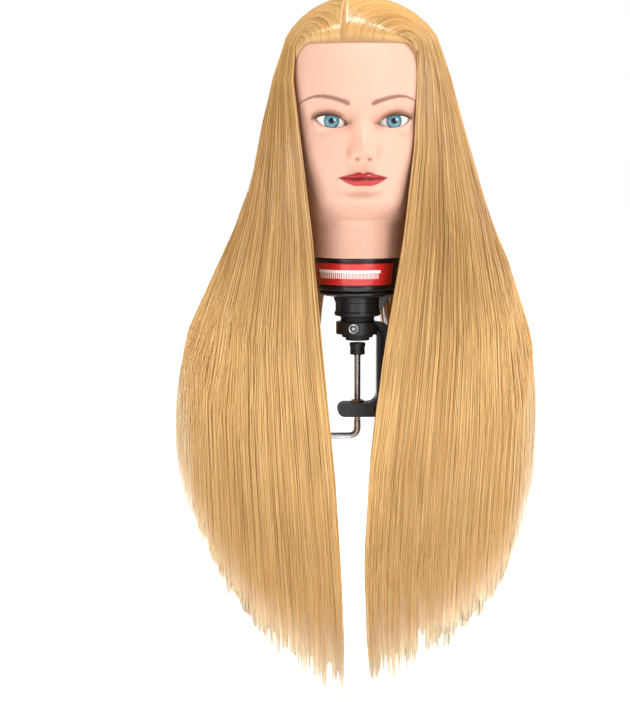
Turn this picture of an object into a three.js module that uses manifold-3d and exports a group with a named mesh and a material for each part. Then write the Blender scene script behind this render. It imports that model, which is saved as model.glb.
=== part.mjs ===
// Mannequin training head on its table clamp.
// Millimetres, +Z up, the face towards -Y. The origin is on the clamp screw's axis, at the flat
// underside of the jaw pad, which is the face that rests on the table's edge.
import * as THREE from 'three';
import { mergeVertices } from 'three/addons/utils/BufferGeometryUtils.js';
import Module from 'manifold-3d';

const wasm = await Module();
wasm.setup();

// ---------- driving dimensions ----------
const GAP = 0.35; // between solids that touch

// clamp frame
const RING_RADIUS = 21.5;
const RING_BOTTOM = 6.5;
const RING_TOP = 18.5;
const BACK_INNER = 19; // C frame's back, distance from the screw's axis
const BACK_OUTER = 41;
const ARM_TOP = -62.5; // lower arm
const ARM_BOTTOM = -76.5;
const ARM_END = -20;
const WEB_WIDTH = 9;
const FLANGE_WIDTH = 21;
const FLANGE_THICKNESS = 4;
const FRAME_BEND = 24; // outer corners
const THROAT_BEND_TOP = 3;
const THROAT_BEND_LOW = 9;
const EDGE_START = 8; // both edges of the C start and end this far from the screw's axis
const LOCK_X = -5; // grub screw that sets how stiffly the head swivels
const LOCK_Z = 12.8;
const LOCK_RADIUS = 5;
const LOCK_TIP_RADIUS = 2.3;
const LOCK_SHOULDER = -9.8;
const JAW_FACE_RADIUS = 12;
const JAW_STEP = 3.2;
const JAW_RADIUS = 15.6;

// screw, pad and their travel
const SCREW_RADIUS = 3.4;
const NUT_BORE = 3.75;
const NUT_RADIUS = 7;
const NUT_TOP = -60.2;
const NUT_BOTTOM = -69;
const PAD_RADIUS = 8;
const PAD_TOP = -2.55; // the clamp stands almost closed
const PAD_HEIGHT = 11.95;
const TIP_RADIUS = 2.6; // the screw's turned-down end, inside the pad
const TIP_LENGTH = 5.5;
const HANDLE_DROP = -96.7; // height of the handle's centre line
const HANDLE_REACH = -44;
const HANDLE_BEND = 9;
const HANDLE_RADIUS = 3.3;

// swivel, tray and plug
const BOLT_RADIUS = 4;
const BOLT_HEAD_RADIUS = 8;
const BOLT_HEAD_HEIGHT = 3.3;
const BOLT_TOP = 39.6;
const NUT_SEAT = 29.9; // spring washer's underside
const SPRING_WASHER_HEIGHT = 1.8;
const LOCK_NUT_HEIGHT = 5.5;
const WASHER_RADIUS = 17;
const CUP_BOTTOM = 24.5;
const CUP_TOP = 44.4;
const CUP_RADIUS = 22.5;
const CUP_FLOOR = 5;
const CUP_WALL = 3.1;
const TRAY_RADIUS = 38.5;
const TRAY_BOTTOM = 44.8;
const TRAY_TOP = 50.4;
const SHAFT_RADIUS = 7.4;
const SHAFT_FLANGE_RADIUS = 12;
const SHAFT_FLANGE_HEIGHT = 4.2;
const CORE_RADIUS = 5; // the post's core inside the plug
const PLUG_BOTTOM = 76.6;
const PLUG_TOP = 130.5;
const PLUG_RADIUS_LOW = 12;
const PLUG_RADIUS_HIGH = 10.7;
const FLUTES = 12;
const FLUTE_DEPTH = 1.3;

// neck base
const BASE_BOTTOM = 51;
const BASE_TOP = 83.5;
const BASE_RADIUS_LOW = 41;
const BASE_RADIUS_HIGH = 44.5;
const COLLAR_RADIUS = 40.2;
const COLLAR_TOP = 98;
const BASE_FLOOR = 4;
const SOCKET_WALL = 2.2;
const SOCKET_TOP = 136;
const SOCKET_LOW = PLUG_RADIUS_LOW + 1;
const SOCKET_HIGH = PLUG_RADIUS_HIGH + 0.8;
const LABEL_BOTTOM = 57.5;
const LABEL_TOP = 79;

// head and hair
const SKIN_BOTTOM = BASE_TOP + 0.4;
const CROWN = 331;
const SKIN_THICKNESS = 4.2;
const EYE_X = 30.3;
const EYE_Z = 219;
const EYE_HALF_WIDTH = 15.5;
const EYE_HALF_HEIGHT = 6.2;
const EYE_FRONT = -76.5;
const EYE_BACK = -69;
const EYE_RADIUS = 17;
const CROWN_SPLIT = 286; // hair over the crown ends here, hair at the sides begins
const WING_TOP = 118; // hair at the sides ends here, the hanging lengths begin
const HAIR_TIP = -350;
const HAIR_CLEARANCE = 1.6; // between the scalp and the hair around it
const CLEAR_RADIUS = 49.5; // room around the clamp that the hanging hair leaves free
const HAIR_TOP = 340;
const HAIRLINE_Z = 280; // forehead's cut-out in the hair over the crown

// ---------- solids ----------
function toSolid(geometry) {
  const bare = geometry.index ? geometry.toNonIndexed() : geometry.clone();
  bare.deleteAttribute('normal');
  bare.deleteAttribute('uv');
  const merged = mergeVertices(bare, 1e-4);
  const corners = Array.from(merged.index.array);
  const faces = [];
  for (let i = 0; i < corners.length; i += 3) {
    const [a, b, c] = corners.slice(i, i + 3);
    if (a !== b && b !== c && c !== a) faces.push([a, b, c]);
  }
  const points = merged.attributes.position;
  const at = (i) => new THREE.Vector3().fromBufferAttribute(points, i);
  const volume = faces.reduce((sum, [a, b, c]) => sum + at(a).dot(at(b).cross(at(c))), 0);
  if (volume < 0) faces.forEach((face) => face.reverse());
  const triVerts = new Uint32Array(faces.flat());
  return new wasm.Manifold(new wasm.Mesh({ numProp: 3, vertProperties: points.array, triVerts }));
}

function toGeometry(solid) {
  const { vertProperties, triVerts } = solid.getMesh();
  const geometry = new THREE.BufferGeometry();
  geometry.setAttribute('position', new THREE.BufferAttribute(vertProperties, 3));
  geometry.setIndex(new THREE.BufferAttribute(triVerts, 1));
  geometry.computeVertexNormals();
  return geometry;
}

const join = (...solids) => solids.reduce((whole, next) => whole.add(next));
const cut = (whole, ...cutters) => cutters.reduce((rest, next) => rest.subtract(next), whole);

// A solid turned about +Z from [radius, height] points. A closed profile never meets the axis.
function turned(profile, sides, closed = false) {
  const points = profile.map(([radius, height]) => new THREE.Vector2(radius, height));
  if (closed) points.push(points[0].clone());
  return toSolid(new THREE.LatheGeometry(points, sides).rotateX(Math.PI / 2));
}

const disc = (radius, bottom, top, sides = 32) =>
  turned([[0, bottom], [radius, bottom], [radius, top], [0, top]], sides);

const ring = (outer, inner, bottom, top, sides = 32) =>
  turned([[inner, bottom], [outer, bottom], [outer, top], [inner, top]], sides, true);

function block(width, depth, height, x, y, z) {
  return toSolid(new THREE.BoxGeometry(width, depth, height).translate(x, y, z));
}

// A flat outline in X and Z, as thick as it says along Y, centred on Y = 0.
function plate(shape, thickness, curveSegments = 6) {
  const geometry = new THREE.ExtrudeGeometry(shape, { depth: thickness, bevelEnabled: false, curveSegments });
  return toSolid(geometry.translate(0, 0, -thickness / 2).rotateX(Math.PI / 2));
}

// A cylinder along Y between two depths.
function rodAlongY(radius, x, z, front, back, sides = 20) {
  const geometry = new THREE.CylinderGeometry(radius, radius, back - front, sides);
  return toSolid(geometry.translate(x, (front + back) / 2, z));
}

// A closed solid through rings of points, all with the same count, from the lowest to the highest.
function loft(rings) {
  const count = rings[0].length;
  const vertices = rings.flat();
  const faces = [];
  for (let level = 0; level + 1 < rings.length; level++) {
    for (let i = 0; i < count; i++) {
      const a = level * count + i;
      const b = level * count + ((i + 1) % count);
      faces.push(a, b, b + count, a, b + count, a + count);
    }
  }
  const flat = (loop) => loop.map((p) => new THREE.Vector2(p.x, p.y));
  const top = (rings.length - 1) * count;
  for (const [a, b, c] of THREE.ShapeUtils.triangulateShape(flat(rings[0]), [])) faces.push(a, c, b);
  for (const [a, b, c] of THREE.ShapeUtils.triangulateShape(flat(rings.at(-1)), [])) {
    faces.push(top + a, top + b, top + c);
  }
  const geometry = new THREE.BufferGeometry().setFromPoints(vertices);
  geometry.setIndex(faces);
  return toSolid(geometry);
}

const spread = (from, to, steps) =>
  Array.from({ length: steps + 1 }, (_, i) => THREE.MathUtils.lerp(from, to, i / steps));

// A smooth curve through stations of [height, value, value, ...], read at any height.
function smoothTable(rows) {
  const heights = rows.map((row) => row[0]);
  const values = rows.flatMap((row) => row.slice(1));
  const size = rows[0].length - 1;
  const curve = new THREE.CubicInterpolant(heights, values, size, new Float32Array(size));
  return (height) => Array.from(curve.evaluate(height));
}

// ---------- the part ----------
const head = new THREE.Group();
const looks = {
  skin: { color: 0xf3cdb4, roughness: 0.5, metalness: 0 },
  foam: { color: 0xe8e2d0, roughness: 0.9, metalness: 0 },
  blackPlastic: { color: 0x17150f, roughness: 0.35, metalness: 0 },
  redLabel: { color: 0xc81e1e, roughness: 0.4, metalness: 0 },
  eye: { color: 0xf4f4f2, roughness: 0.1, metalness: 0 },
  lash: { color: 0x1c1411, roughness: 0.7, metalness: 0 },
  hair: { color: 0xd9a95b, roughness: 0.45, metalness: 0 },
  castBlack: { color: 0x1b1b1b, roughness: 0.45, metalness: 0.1 },
  rubber: { color: 0x202020, roughness: 0.8, metalness: 0 },
  steel: { color: 0xb9b9b9, roughness: 0.3, metalness: 1 },
};

function piece(name, solid, look) {
  const mesh = new THREE.Mesh(toGeometry(solid), new THREE.MeshStandardMaterial(looks[look]));
  mesh.name = name;
  head.add(mesh);
}

// ---------- clamp frame ----------
// The C's outer edge, set in by a distance, from the ring round to the lower arm.
function outerEdge(inset) {
  const bend = FRAME_BEND - inset;
  const x = BACK_OUTER - inset - bend;
  const path = new THREE.Path();
  path.moveTo(EDGE_START, RING_TOP - inset);
  path.lineTo(x, RING_TOP - inset);
  path.absarc(x, RING_TOP - inset - bend, bend, Math.PI / 2, 0, true);
  path.absarc(x, ARM_BOTTOM + inset + bend, bend, 0, -Math.PI / 2, true);
  path.lineTo(EDGE_START, ARM_BOTTOM + inset);
  return path.getPoints(8);
}

// The C's inner edge, around the throat, set out by a distance, from the ring to the lower arm.
function innerEdge(outset) {
  const highX = BACK_INNER - THROAT_BEND_TOP;
  const lowX = BACK_INNER - THROAT_BEND_LOW;
  const path = new THREE.Path();
  path.moveTo(EDGE_START, RING_BOTTOM + outset);
  path.lineTo(highX, RING_BOTTOM + outset);
  path.absarc(highX, RING_BOTTOM - THROAT_BEND_TOP, THROAT_BEND_TOP + outset, Math.PI / 2, 0, true);
  path.absarc(lowX, ARM_TOP + THROAT_BEND_LOW, THROAT_BEND_LOW + outset, 0, -Math.PI / 2, true);
  path.lineTo(EDGE_START, ARM_TOP - outset);
  return path.getPoints(6);
}

const between = (edge, otherEdge) => new THREE.Shape([...edge, ...otherEdge.toReversed()]);

function armOutline() {
  const radius = (ARM_TOP - ARM_BOTTOM) / 2;
  const shape = new THREE.Shape();
  shape.moveTo(BACK_INNER - 3, ARM_BOTTOM);
  shape.lineTo(BACK_INNER - 3, ARM_TOP);
  shape.lineTo(ARM_END + radius, ARM_TOP);
  shape.absarc(ARM_END + radius, ARM_TOP - radius, radius, Math.PI / 2, -Math.PI / 2, false);
  return shape;
}

function clampFrame() {
  const web = plate(between(outerEdge(0), innerEdge(0)), WEB_WIDTH);
  const outerFlange = plate(between(outerEdge(0), outerEdge(FLANGE_THICKNESS)), FLANGE_WIDTH);
  const innerFlange = plate(between(innerEdge(0), innerEdge(FLANGE_THICKNESS)), FLANGE_WIDTH);
  const arm = plate(armOutline(), FLANGE_WIDTH);
  const collar = disc(RING_RADIUS, RING_BOTTOM, RING_TOP, 40);
  const boltHeadTop = RING_BOTTOM + BOLT_HEAD_HEIGHT;
  return cut(
    join(web, outerFlange, innerFlange, arm, collar),
    disc(BOLT_RADIUS + GAP, RING_BOTTOM - 1, RING_TOP + 1, 24),
    disc(BOLT_HEAD_RADIUS + GAP, RING_BOTTOM - 1, boltHeadTop + GAP, 24),
    rodAlongY(LOCK_RADIUS + GAP, LOCK_X, LOCK_Z, -RING_RADIUS - 2, LOCK_SHOULDER + GAP),
    rodAlongY(LOCK_TIP_RADIUS + GAP, LOCK_X, LOCK_Z, LOCK_SHOULDER - 1, -2),
    disc(SCREW_RADIUS + 0.6, ARM_BOTTOM - 1, ARM_TOP + 1, 24),
    disc(NUT_RADIUS + GAP, NUT_BOTTOM - GAP, ARM_TOP + 1, 6),
  );
}

function clamp() {
  piece('c_frame', clampFrame(), 'castBlack');
  const jawTop = RING_BOTTOM - GAP;
  const jaw = turned(
    [[0, 0], [JAW_FACE_RADIUS, 0], [JAW_FACE_RADIUS, JAW_STEP], [JAW_RADIUS, JAW_STEP],
      [JAW_RADIUS, jawTop], [0, jawTop]],
    32,
  );
  piece('jaw_pad', jaw, 'rubber');
  const grubTip = rodAlongY(LOCK_TIP_RADIUS, LOCK_X, LOCK_Z, LOCK_SHOULDER - 0.2, -BOLT_RADIUS - 0.2, 16);
  const grubBody = rodAlongY(LOCK_RADIUS, LOCK_X, LOCK_Z, LOCK_SHOULDER - 10, LOCK_SHOULDER);
  const hexSocket = rodAlongY(0.58 * LOCK_RADIUS, LOCK_X, LOCK_Z, -RING_RADIUS, LOCK_SHOULDER - 5, 6);
  piece('swivel_lock_screw', cut(join(grubBody, grubTip), hexSocket), 'steel');
  const insert = disc(NUT_RADIUS, NUT_BOTTOM, NUT_TOP, 6);
  piece('screw_nut', cut(insert, disc(NUT_BORE, NUT_BOTTOM - 1, NUT_TOP + 1, 24)), 'steel');

  const boltHead = disc(BOLT_HEAD_RADIUS, RING_BOTTOM, RING_BOTTOM + BOLT_HEAD_HEIGHT, 24);
  const shank = disc(BOLT_RADIUS, RING_BOTTOM + 1, BOLT_TOP, 24);
  piece('swivel_bolt', join(boltHead, shank), 'steel');
  const bore = BOLT_RADIUS + GAP;
  const washerTop = NUT_SEAT + SPRING_WASHER_HEIGHT;
  piece('spring_washer', ring(BOLT_HEAD_RADIUS, bore, NUT_SEAT, washerTop, 24), 'steel');
  const lockNut = disc(BOLT_HEAD_RADIUS, washerTop + GAP, washerTop + GAP + LOCK_NUT_HEIGHT, 6);
  piece('swivel_nut', cut(lockNut, disc(bore, washerTop, BOLT_TOP, 24)), 'steel');
}

// ---------- screw with its bent handle, and the pressure pad ----------
function handleBar() {
  const path = new THREE.CurvePath();
  const start = new THREE.Vector3(0, 0, HANDLE_DROP + HANDLE_BEND + 0.6);
  const corner = new THREE.Vector3(0, 0, HANDLE_DROP);
  const turnEnd = new THREE.Vector3(-HANDLE_BEND, 0, HANDLE_DROP);
  path.add(new THREE.QuadraticBezierCurve3(start, corner, turnEnd));
  path.add(new THREE.LineCurve3(turnEnd, new THREE.Vector3(HANDLE_REACH, 0, HANDLE_DROP)));
  const section = new THREE.Shape().absarc(0, 0, HANDLE_RADIUS, 0, 2 * Math.PI, false);
  const bar = new THREE.ExtrudeGeometry(section, { steps: 14, curveSegments: 7, extrudePath: path });
  return toSolid(bar);
}

function screwAndPad() {
  const shankEnd = HANDLE_DROP + HANDLE_BEND;
  const tip = PAD_TOP - 3.65;
  const shoulder = tip - TIP_LENGTH;
  const shank = turned(
    [[0, shankEnd], [SCREW_RADIUS, shankEnd], [SCREW_RADIUS, shoulder],
      [TIP_RADIUS, shoulder], [TIP_RADIUS, tip], [0, tip]],
    16,
  );
  piece('clamp_screw', join(shank, handleBar()), 'steel');
  const padBottom = PAD_TOP - PAD_HEIGHT;
  const bore = SCREW_RADIUS + 0.5;
  const recess = PAD_RADIUS - 2;
  const cup = turned(
    [[0, PAD_TOP], [PAD_RADIUS, PAD_TOP], [PAD_RADIUS, tip], [PAD_RADIUS - 0.6, padBottom],
      [recess, padBottom], [recess, padBottom + 1.7], [bore, padBottom + 1.7], [bore, PAD_TOP - 2.85],
      [0, PAD_TOP - 2.85]],
    28,
  );
  piece('pad_cup', cup, 'castBlack');
  const retainer = ring(recess - 0.4, SCREW_RADIUS + GAP, padBottom + 0.2, padBottom + 1.3, 24);
  piece('pad_retainer', retainer, 'steel');
}

// ---------- swivel, tray and plug ----------
function gusset(angle) {
  const shape = new THREE.Shape();
  shape.moveTo(CUP_RADIUS + 0.9, TRAY_BOTTOM + 0.5);
  shape.lineTo(CUP_RADIUS + 9, TRAY_BOTTOM + 0.5);
  shape.lineTo(CUP_RADIUS + 9, TRAY_BOTTOM - 1);
  shape.lineTo(CUP_RADIUS + 1.6, TRAY_BOTTOM - 15);
  shape.lineTo(CUP_RADIUS + 0.9, TRAY_BOTTOM - 15);
  return plate(shape, 2.4).rotate([0, 0, angle]);
}

function trayDisc() {
  const dish = turned(
    [[SHAFT_RADIUS + GAP, TRAY_BOTTOM], [TRAY_RADIUS - 6, TRAY_BOTTOM], [TRAY_RADIUS, TRAY_TOP - 3.4],
      [TRAY_RADIUS, TRAY_TOP - 1.2], [TRAY_RADIUS - 4.5, TRAY_TOP], [SHAFT_RADIUS + GAP, TRAY_TOP]],
    48,
    true,
  );
  const notches = [60, 180, 300].map((angle) =>
    block(5, 16, 12, TRAY_RADIUS, 0, TRAY_TOP).rotate([0, 0, angle]));
  return join(cut(dish, ...notches), ...[-20, 100, 220].map(gusset));
}

// The plug's sleeve: a taper with rounded flutes, chamfered at both ends.
function plugSection(radius, depth, height) {
  const perFlute = 4;
  return spread(0, FLUTES * perFlute - 1, FLUTES * perFlute - 1).map((i) => {
    const reach = i % perFlute === 0 ? radius - depth : radius;
    const angle = (i / (FLUTES * perFlute)) * 2 * Math.PI;
    return new THREE.Vector3(reach * Math.cos(angle), reach * Math.sin(angle), height);
  });
}

function plugSleeve() {
  const outer = loft([
    plugSection(PLUG_RADIUS_LOW - 3.4, 0.2, PLUG_BOTTOM),
    plugSection(PLUG_RADIUS_LOW, FLUTE_DEPTH, PLUG_BOTTOM + 4),
    plugSection(PLUG_RADIUS_HIGH, FLUTE_DEPTH, PLUG_TOP - 3),
    plugSection(PLUG_RADIUS_HIGH - 2, 0.2, PLUG_TOP),
  ]);
  return cut(outer, disc(CORE_RADIUS + GAP, PLUG_BOTTOM - 1, PLUG_TOP - 4, 24));
}

function swivelAndPlug() {
  const bore = BOLT_RADIUS + GAP;
  piece('swivel_washer', ring(WASHER_RADIUS, bore, RING_TOP + GAP, CUP_BOTTOM - GAP), 'rubber');
  const floor = CUP_BOTTOM + CUP_FLOOR;
  const lip = CUP_RADIUS - 0.7;
  const cup = turned(
    [[bore, CUP_BOTTOM], [CUP_RADIUS + 0.6, CUP_BOTTOM], [CUP_RADIUS - 0.4, floor], [lip, CUP_TOP],
      [lip - CUP_WALL, CUP_TOP], [lip - CUP_WALL, floor], [bore, floor]],
    40,
    true,
  );
  piece('hub_cup', cup, 'castBlack');
  piece('tray', trayDisc(), 'castBlack');
  const foot = CUP_TOP - SHAFT_FLANGE_HEIGHT;
  const shoulder = PLUG_BOTTOM - GAP;
  const post = turned(
    [[0, foot], [SHAFT_FLANGE_RADIUS, foot], [SHAFT_FLANGE_RADIUS, CUP_TOP], [SHAFT_RADIUS, CUP_TOP],
      [SHAFT_RADIUS, shoulder], [CORE_RADIUS, shoulder], [CORE_RADIUS, PLUG_TOP - 5], [0, PLUG_TOP - 5]],
    24,
  );
  piece('post', post, 'castBlack');
  piece('plug_sleeve', plugSleeve(), 'castBlack');
}

// ---------- neck base ----------
function neckBase() {
  const outside = SOCKET_LOW + SOCKET_WALL;
  const hole = outside + GAP;
  const floor = BASE_BOTTOM + BASE_FLOOR;
  const cap = turned(
    [[hole, BASE_BOTTOM], [BASE_RADIUS_LOW - 1, BASE_BOTTOM], [BASE_RADIUS_LOW, BASE_BOTTOM + 1.5],
      [BASE_RADIUS_LOW + 0.5, BASE_BOTTOM + 5], [BASE_RADIUS_HIGH, BASE_TOP - 1],
      [BASE_RADIUS_HIGH, BASE_TOP], [COLLAR_RADIUS, BASE_TOP], [COLLAR_RADIUS, COLLAR_TOP],
      [COLLAR_RADIUS - 2.4, COLLAR_TOP], [COLLAR_RADIUS - 3, floor], [hole, floor]],
    40,
    true,
  );
  piece('neck_base_cap', cap, 'blackPlastic');

  const flange = floor + GAP;
  const flangeTop = flange + 2.4;
  const socket = turned(
    [[SOCKET_LOW, BASE_BOTTOM], [outside, BASE_BOTTOM], [outside, flange], [SOCKET_LOW + 6, flange],
      [SOCKET_LOW + 6, flangeTop], [outside, flangeTop], [SOCKET_HIGH + SOCKET_WALL, SOCKET_TOP],
      [0, SOCKET_TOP], [0, SOCKET_TOP - 3], [SOCKET_HIGH, SOCKET_TOP - 3]],
    28,
    true,
  );
  piece('socket_tube', socket, 'blackPlastic');
  piece('base_label', baseLabel(), 'redLabel');
}

// A thin sticker that follows the band's taper, from one angle to another, measured from the front.
function baseLabel() {
  const from = THREE.MathUtils.degToRad(-71);
  const to = THREE.MathUtils.degToRad(48);
  const taper = (BASE_RADIUS_HIGH - BASE_RADIUS_LOW - 0.5) / (BASE_TOP - 1 - BASE_BOTTOM - 5);
  const section = (height) => {
    const band = BASE_RADIUS_LOW + 0.5 + (height - BASE_BOTTOM - 5) * taper;
    const arc = (radius, angles) =>
      angles.map((a) => new THREE.Vector3(radius * Math.sin(a), -radius * Math.cos(a), height));
    const angles = spread(from, to, 20);
    return [...arc(band + 0.35, angles), ...arc(band + 0.8, angles.toReversed())].reverse();
  };
  return loft([section(LABEL_BOTTOM), section(LABEL_TOP)]);
}

// ---------- head ----------
// Stations of [height, front, back, half width, middle, squareness]. Front and back are distances
// from the neck's axis, and middle is how far behind it the head is widest.
const headTable = smoothTable([
  [80, 45, 45, 45.2, 0, 2],
  [SKIN_BOTTOM, 45, 45, 45.2, 0, 2],
  [108, 45, 45, 45.2, 0, 2],
  [120, 48, 47, 46, 0, 2],
  [129, 66, 50, 47, 0, 2.1],
  [138, 81, 54, 49, 1, 2.2],
  [152, 84.5, 60, 52.5, 2, 2.3],
  [166, 86, 67, 56.5, 3, 2.3],
  [180, 86.5, 74, 61, 4, 2.3],
  [200, 87, 82, 65.5, 5, 2.3],
  [220, 85, 88, 68.5, 6, 2.3],
  [240, 88, 91, 70.5, 7, 2.25],
  [262, 88.5, 91, 71.5, 7, 2.2],
  [281, 84.5, 87, 69, 7, 2.15],
  [298, 75, 79, 62, 7, 2.1],
  [312, 61, 66, 51.5, 6, 2],
  [322.5, 43, 50, 38.5, 6, 2],
  [328.2, 25, 33, 24, 6, 2],
  [CROWN, -3, 9, 3, 6, 2],
]);

const bump = (distance, width) => Math.exp(-((distance / width) ** 2));

// How far the nose, lips, chin and brow stand out of the plain head at a place on the face.
function relief(x, z) {
  const tip = 189;
  const noseHeight = 17.5 * bump(z - tip, z > tip ? 19 : 7);
  const noseWidth = THREE.MathUtils.clamp(THREE.MathUtils.mapLinear(z, tip - 8, tip + 30, 11, 6), 6, 11);
  const side = Math.abs(x);
  return noseHeight * bump(x, noseWidth)
    + 3.5 * bump(x, 18) * bump(z - 164, 8)
    + 4 * bump(x, 16) * bump(z - 142, 9)
    - 1.5 * bump(side - EYE_X, 14) * bump(z - EYE_Z, 9);
}

// A point on the head at an angle from the front, standing out by a distance.
function headPoint(angle, height, out, frontOut = out, withFace = false) {
  const [front, back, halfWidth, middle, squareness] = headTable(height);
  const power = 2 / squareness;
  const sine = Math.sin(angle);
  const cosine = Math.cos(angle);
  const depth = cosine > 0 ? front + middle + frontOut : back - middle + out;
  const x = Math.sign(sine) * Math.abs(sine) ** power * (halfWidth + out);
  let y = middle - Math.sign(cosine) * Math.abs(cosine) ** power * depth;
  if (withFace && cosine > 0) y -= relief(x, height);
  return new THREE.Vector3(x, y, height);
}

// Angles all the way round, closer together at the front.
function roundAngles(count, crowding) {
  return spread(0, count - 1, count - 1).map((i) => {
    const even = (i / count) * 2 * Math.PI;
    return even - crowding * Math.sin(even);
  });
}

const almond = (grow) => (side) => {
  const shape = new THREE.Shape();
  const halfWidth = EYE_HALF_WIDTH + grow;
  const halfHeight = EYE_HALF_HEIGHT + grow;
  const x = side * EYE_X;
  shape.moveTo(x - halfWidth, EYE_Z);
  shape.quadraticCurveTo(x, EYE_Z + 2 * halfHeight, x + halfWidth, EYE_Z);
  shape.quadraticCurveTo(x, EYE_Z - 2 * halfHeight, x - halfWidth, EYE_Z);
  return shape;
};

function almondPrism(side, grow, front, back) {
  return plate(almond(grow)(side), back - front, 8).translate([0, (front + back) / 2, 0]);
}

function eyeball(side) {
  const ball = new THREE.SphereGeometry(EYE_RADIUS, 28, 18);
  return toSolid(ball.translate(side * EYE_X, EYE_FRONT + EYE_RADIUS, EYE_Z));
}

function lashStrip(side) {
  const rings = spread(-14, 14, 8).map((across) => {
    const x = side * EYE_X + across;
    const lift = EYE_HALF_HEIGHT * (1 - (across / EYE_HALF_WIDTH) ** 2);
    const z = EYE_Z + lift + 1;
    const root = headPoint(0, z, 0)
      .setX(x)
      .setY(-faceDepth(x, z) - 0.8);
    const corner = (out, up) => new THREE.Vector3(x, root.y - out, z + up);
    return [corner(0, 0), corner(0, 0.8), corner(5, 2.6), corner(5, 1.8)];
  });
  const swapped = rings.map((loop) => loop.map((p) => new THREE.Vector3(p.y, p.z, p.x)));
  return loftAlongX(swapped);
}

// The same loft for rings that stand across X: their points hold Y, Z and X in that order.
function loftAlongX(swapped) {
  return loft(swapped).rotate([0, 90, 0]).rotate([90, 0, 0]);
}

// How far the face stands in front of the neck's axis at a place.
function faceDepth(x, z) {
  const [front, , halfWidth, middle, squareness] = headTable(z);
  const across = Math.min(Math.abs(x) / halfWidth, 1);
  const level = (1 - across ** squareness) ** (1 / squareness);
  return (front + middle) * level - middle + relief(x, z);
}

function mannequin() {
  const skinLevels = [
    SKIN_BOTTOM, 108, ...spread(118, 138, 3), ...spread(145, 229, 12), ...spread(239, 283, 4),
    ...spread(292, 314, 2), 322, 327.5, CROWN,
  ];
  const skinAngles = roundAngles(36, 0.45);
  const outside = loft(skinLevels.map((z) => skinAngles.map((a) => headPoint(a, z, 0, 0, true))));

  const coreAngles = roundAngles(24, 0);
  const coreLevels = [SKIN_BOTTOM - 1, 110, 124, ...spread(138, 281, 6), 298, 311, 319.5, 324.5];
  const core = (inset) => loft(coreLevels.map((z) => {
    const drop = z > 290 ? inset - SKIN_THICKNESS : 0;
    return coreAngles.map((a) => headPoint(a, z - drop, -inset, -inset - 5 * faceWeight(z)));
  }));
  const pockets = [-1, 1].map((side) => almondPrism(side, GAP, -110, EYE_BACK + GAP));
  piece('head_shell', cut(outside, core(SKIN_THICKNESS), ...pockets), 'skin');

  const foamBelow = disc(COLLAR_RADIUS - 3.6, BASE_BOTTOM + 7.2, COLLAR_TOP + 2, 36);
  const cutDepth = 40;
  const belowCollar = block(200, 200, cutDepth, 0, 0, COLLAR_TOP + 0.4 - cutDepth / 2);
  const coreAbove = core(SKIN_THICKNESS + GAP).subtract(belowCollar);
  const socketRoom = turned(
    [[0, BASE_BOTTOM], [SOCKET_LOW + SOCKET_WALL + GAP, BASE_BOTTOM],
      [SOCKET_HIGH + SOCKET_WALL + GAP, SOCKET_TOP + GAP], [0, SOCKET_TOP + GAP]],
    28,
  );
  piece('foam_core', cut(join(foamBelow, coreAbove), socketRoom, ...pockets), 'foam');

  for (const [side, word] of [[-1, 'left'], [1, 'right']]) {
    const eye = almondPrism(side, 0, -110, EYE_BACK).intersect(eyeball(side));
    piece(`eye_${word}`, eye, 'eye');
    piece(`lash_${word}`, lashStrip(side), 'lash');
  }
}

// The shell is thicker behind the face, where the features need room.
function faceWeight(z) {
  return THREE.MathUtils.smoothstep(z, 118, 140) * (1 - THREE.MathUtils.smoothstep(z, 282, 310));
}

// ---------- hair ----------
// Stations of [height, left reach, right reach, front depth, back depth] of the hair's outside.
const hairTable = smoothTable([
  [HAIR_TIP, 24, 24, 13, 13],
  [-330, 52, 50, 24, 24],
  [-300, 92, 88, 42, 42],
  [-240, 142, 136, 58, 58],
  [-200, 168, 164, 60, 60],
  [-150, 178, 174, 61, 62],
  [-60, 184, 180, 62, 65],
  [0, 176, 174, 64, 70],
  [50, 154, 160, 66, 78],
  [118, 122, 134, 68, 88],
  [160, 104, 118, 72, 95],
  [200, 97, 107, 76, 101],
  [250, 88, 98, 79, 107],
  [CROWN_SPLIT, 79, 87, 79, 104],
]);

// Stations of [height, left, right] of the hair's edge beside the face and over the gap below it.
const edgeTable = smoothTable([
  [HAIR_TIP, 14, 17],
  [-220, 19, 12],
  [-130, 25, 15],
  [-60, 32, 21],
  [0, 38, 29],
  [50, 43, 37],
  [118, 50, 45],
  [165, 55, 51],
  [230, 58, 57],
  [CROWN_SPLIT, 60, 57],
]);

// The hair's edge at the back: closed behind the head, open below the nape like the front.
function backEdge(height, edge) {
  return THREE.MathUtils.lerp(edge, 0.4, THREE.MathUtils.smoothstep(height, 60, 130));
}

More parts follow.
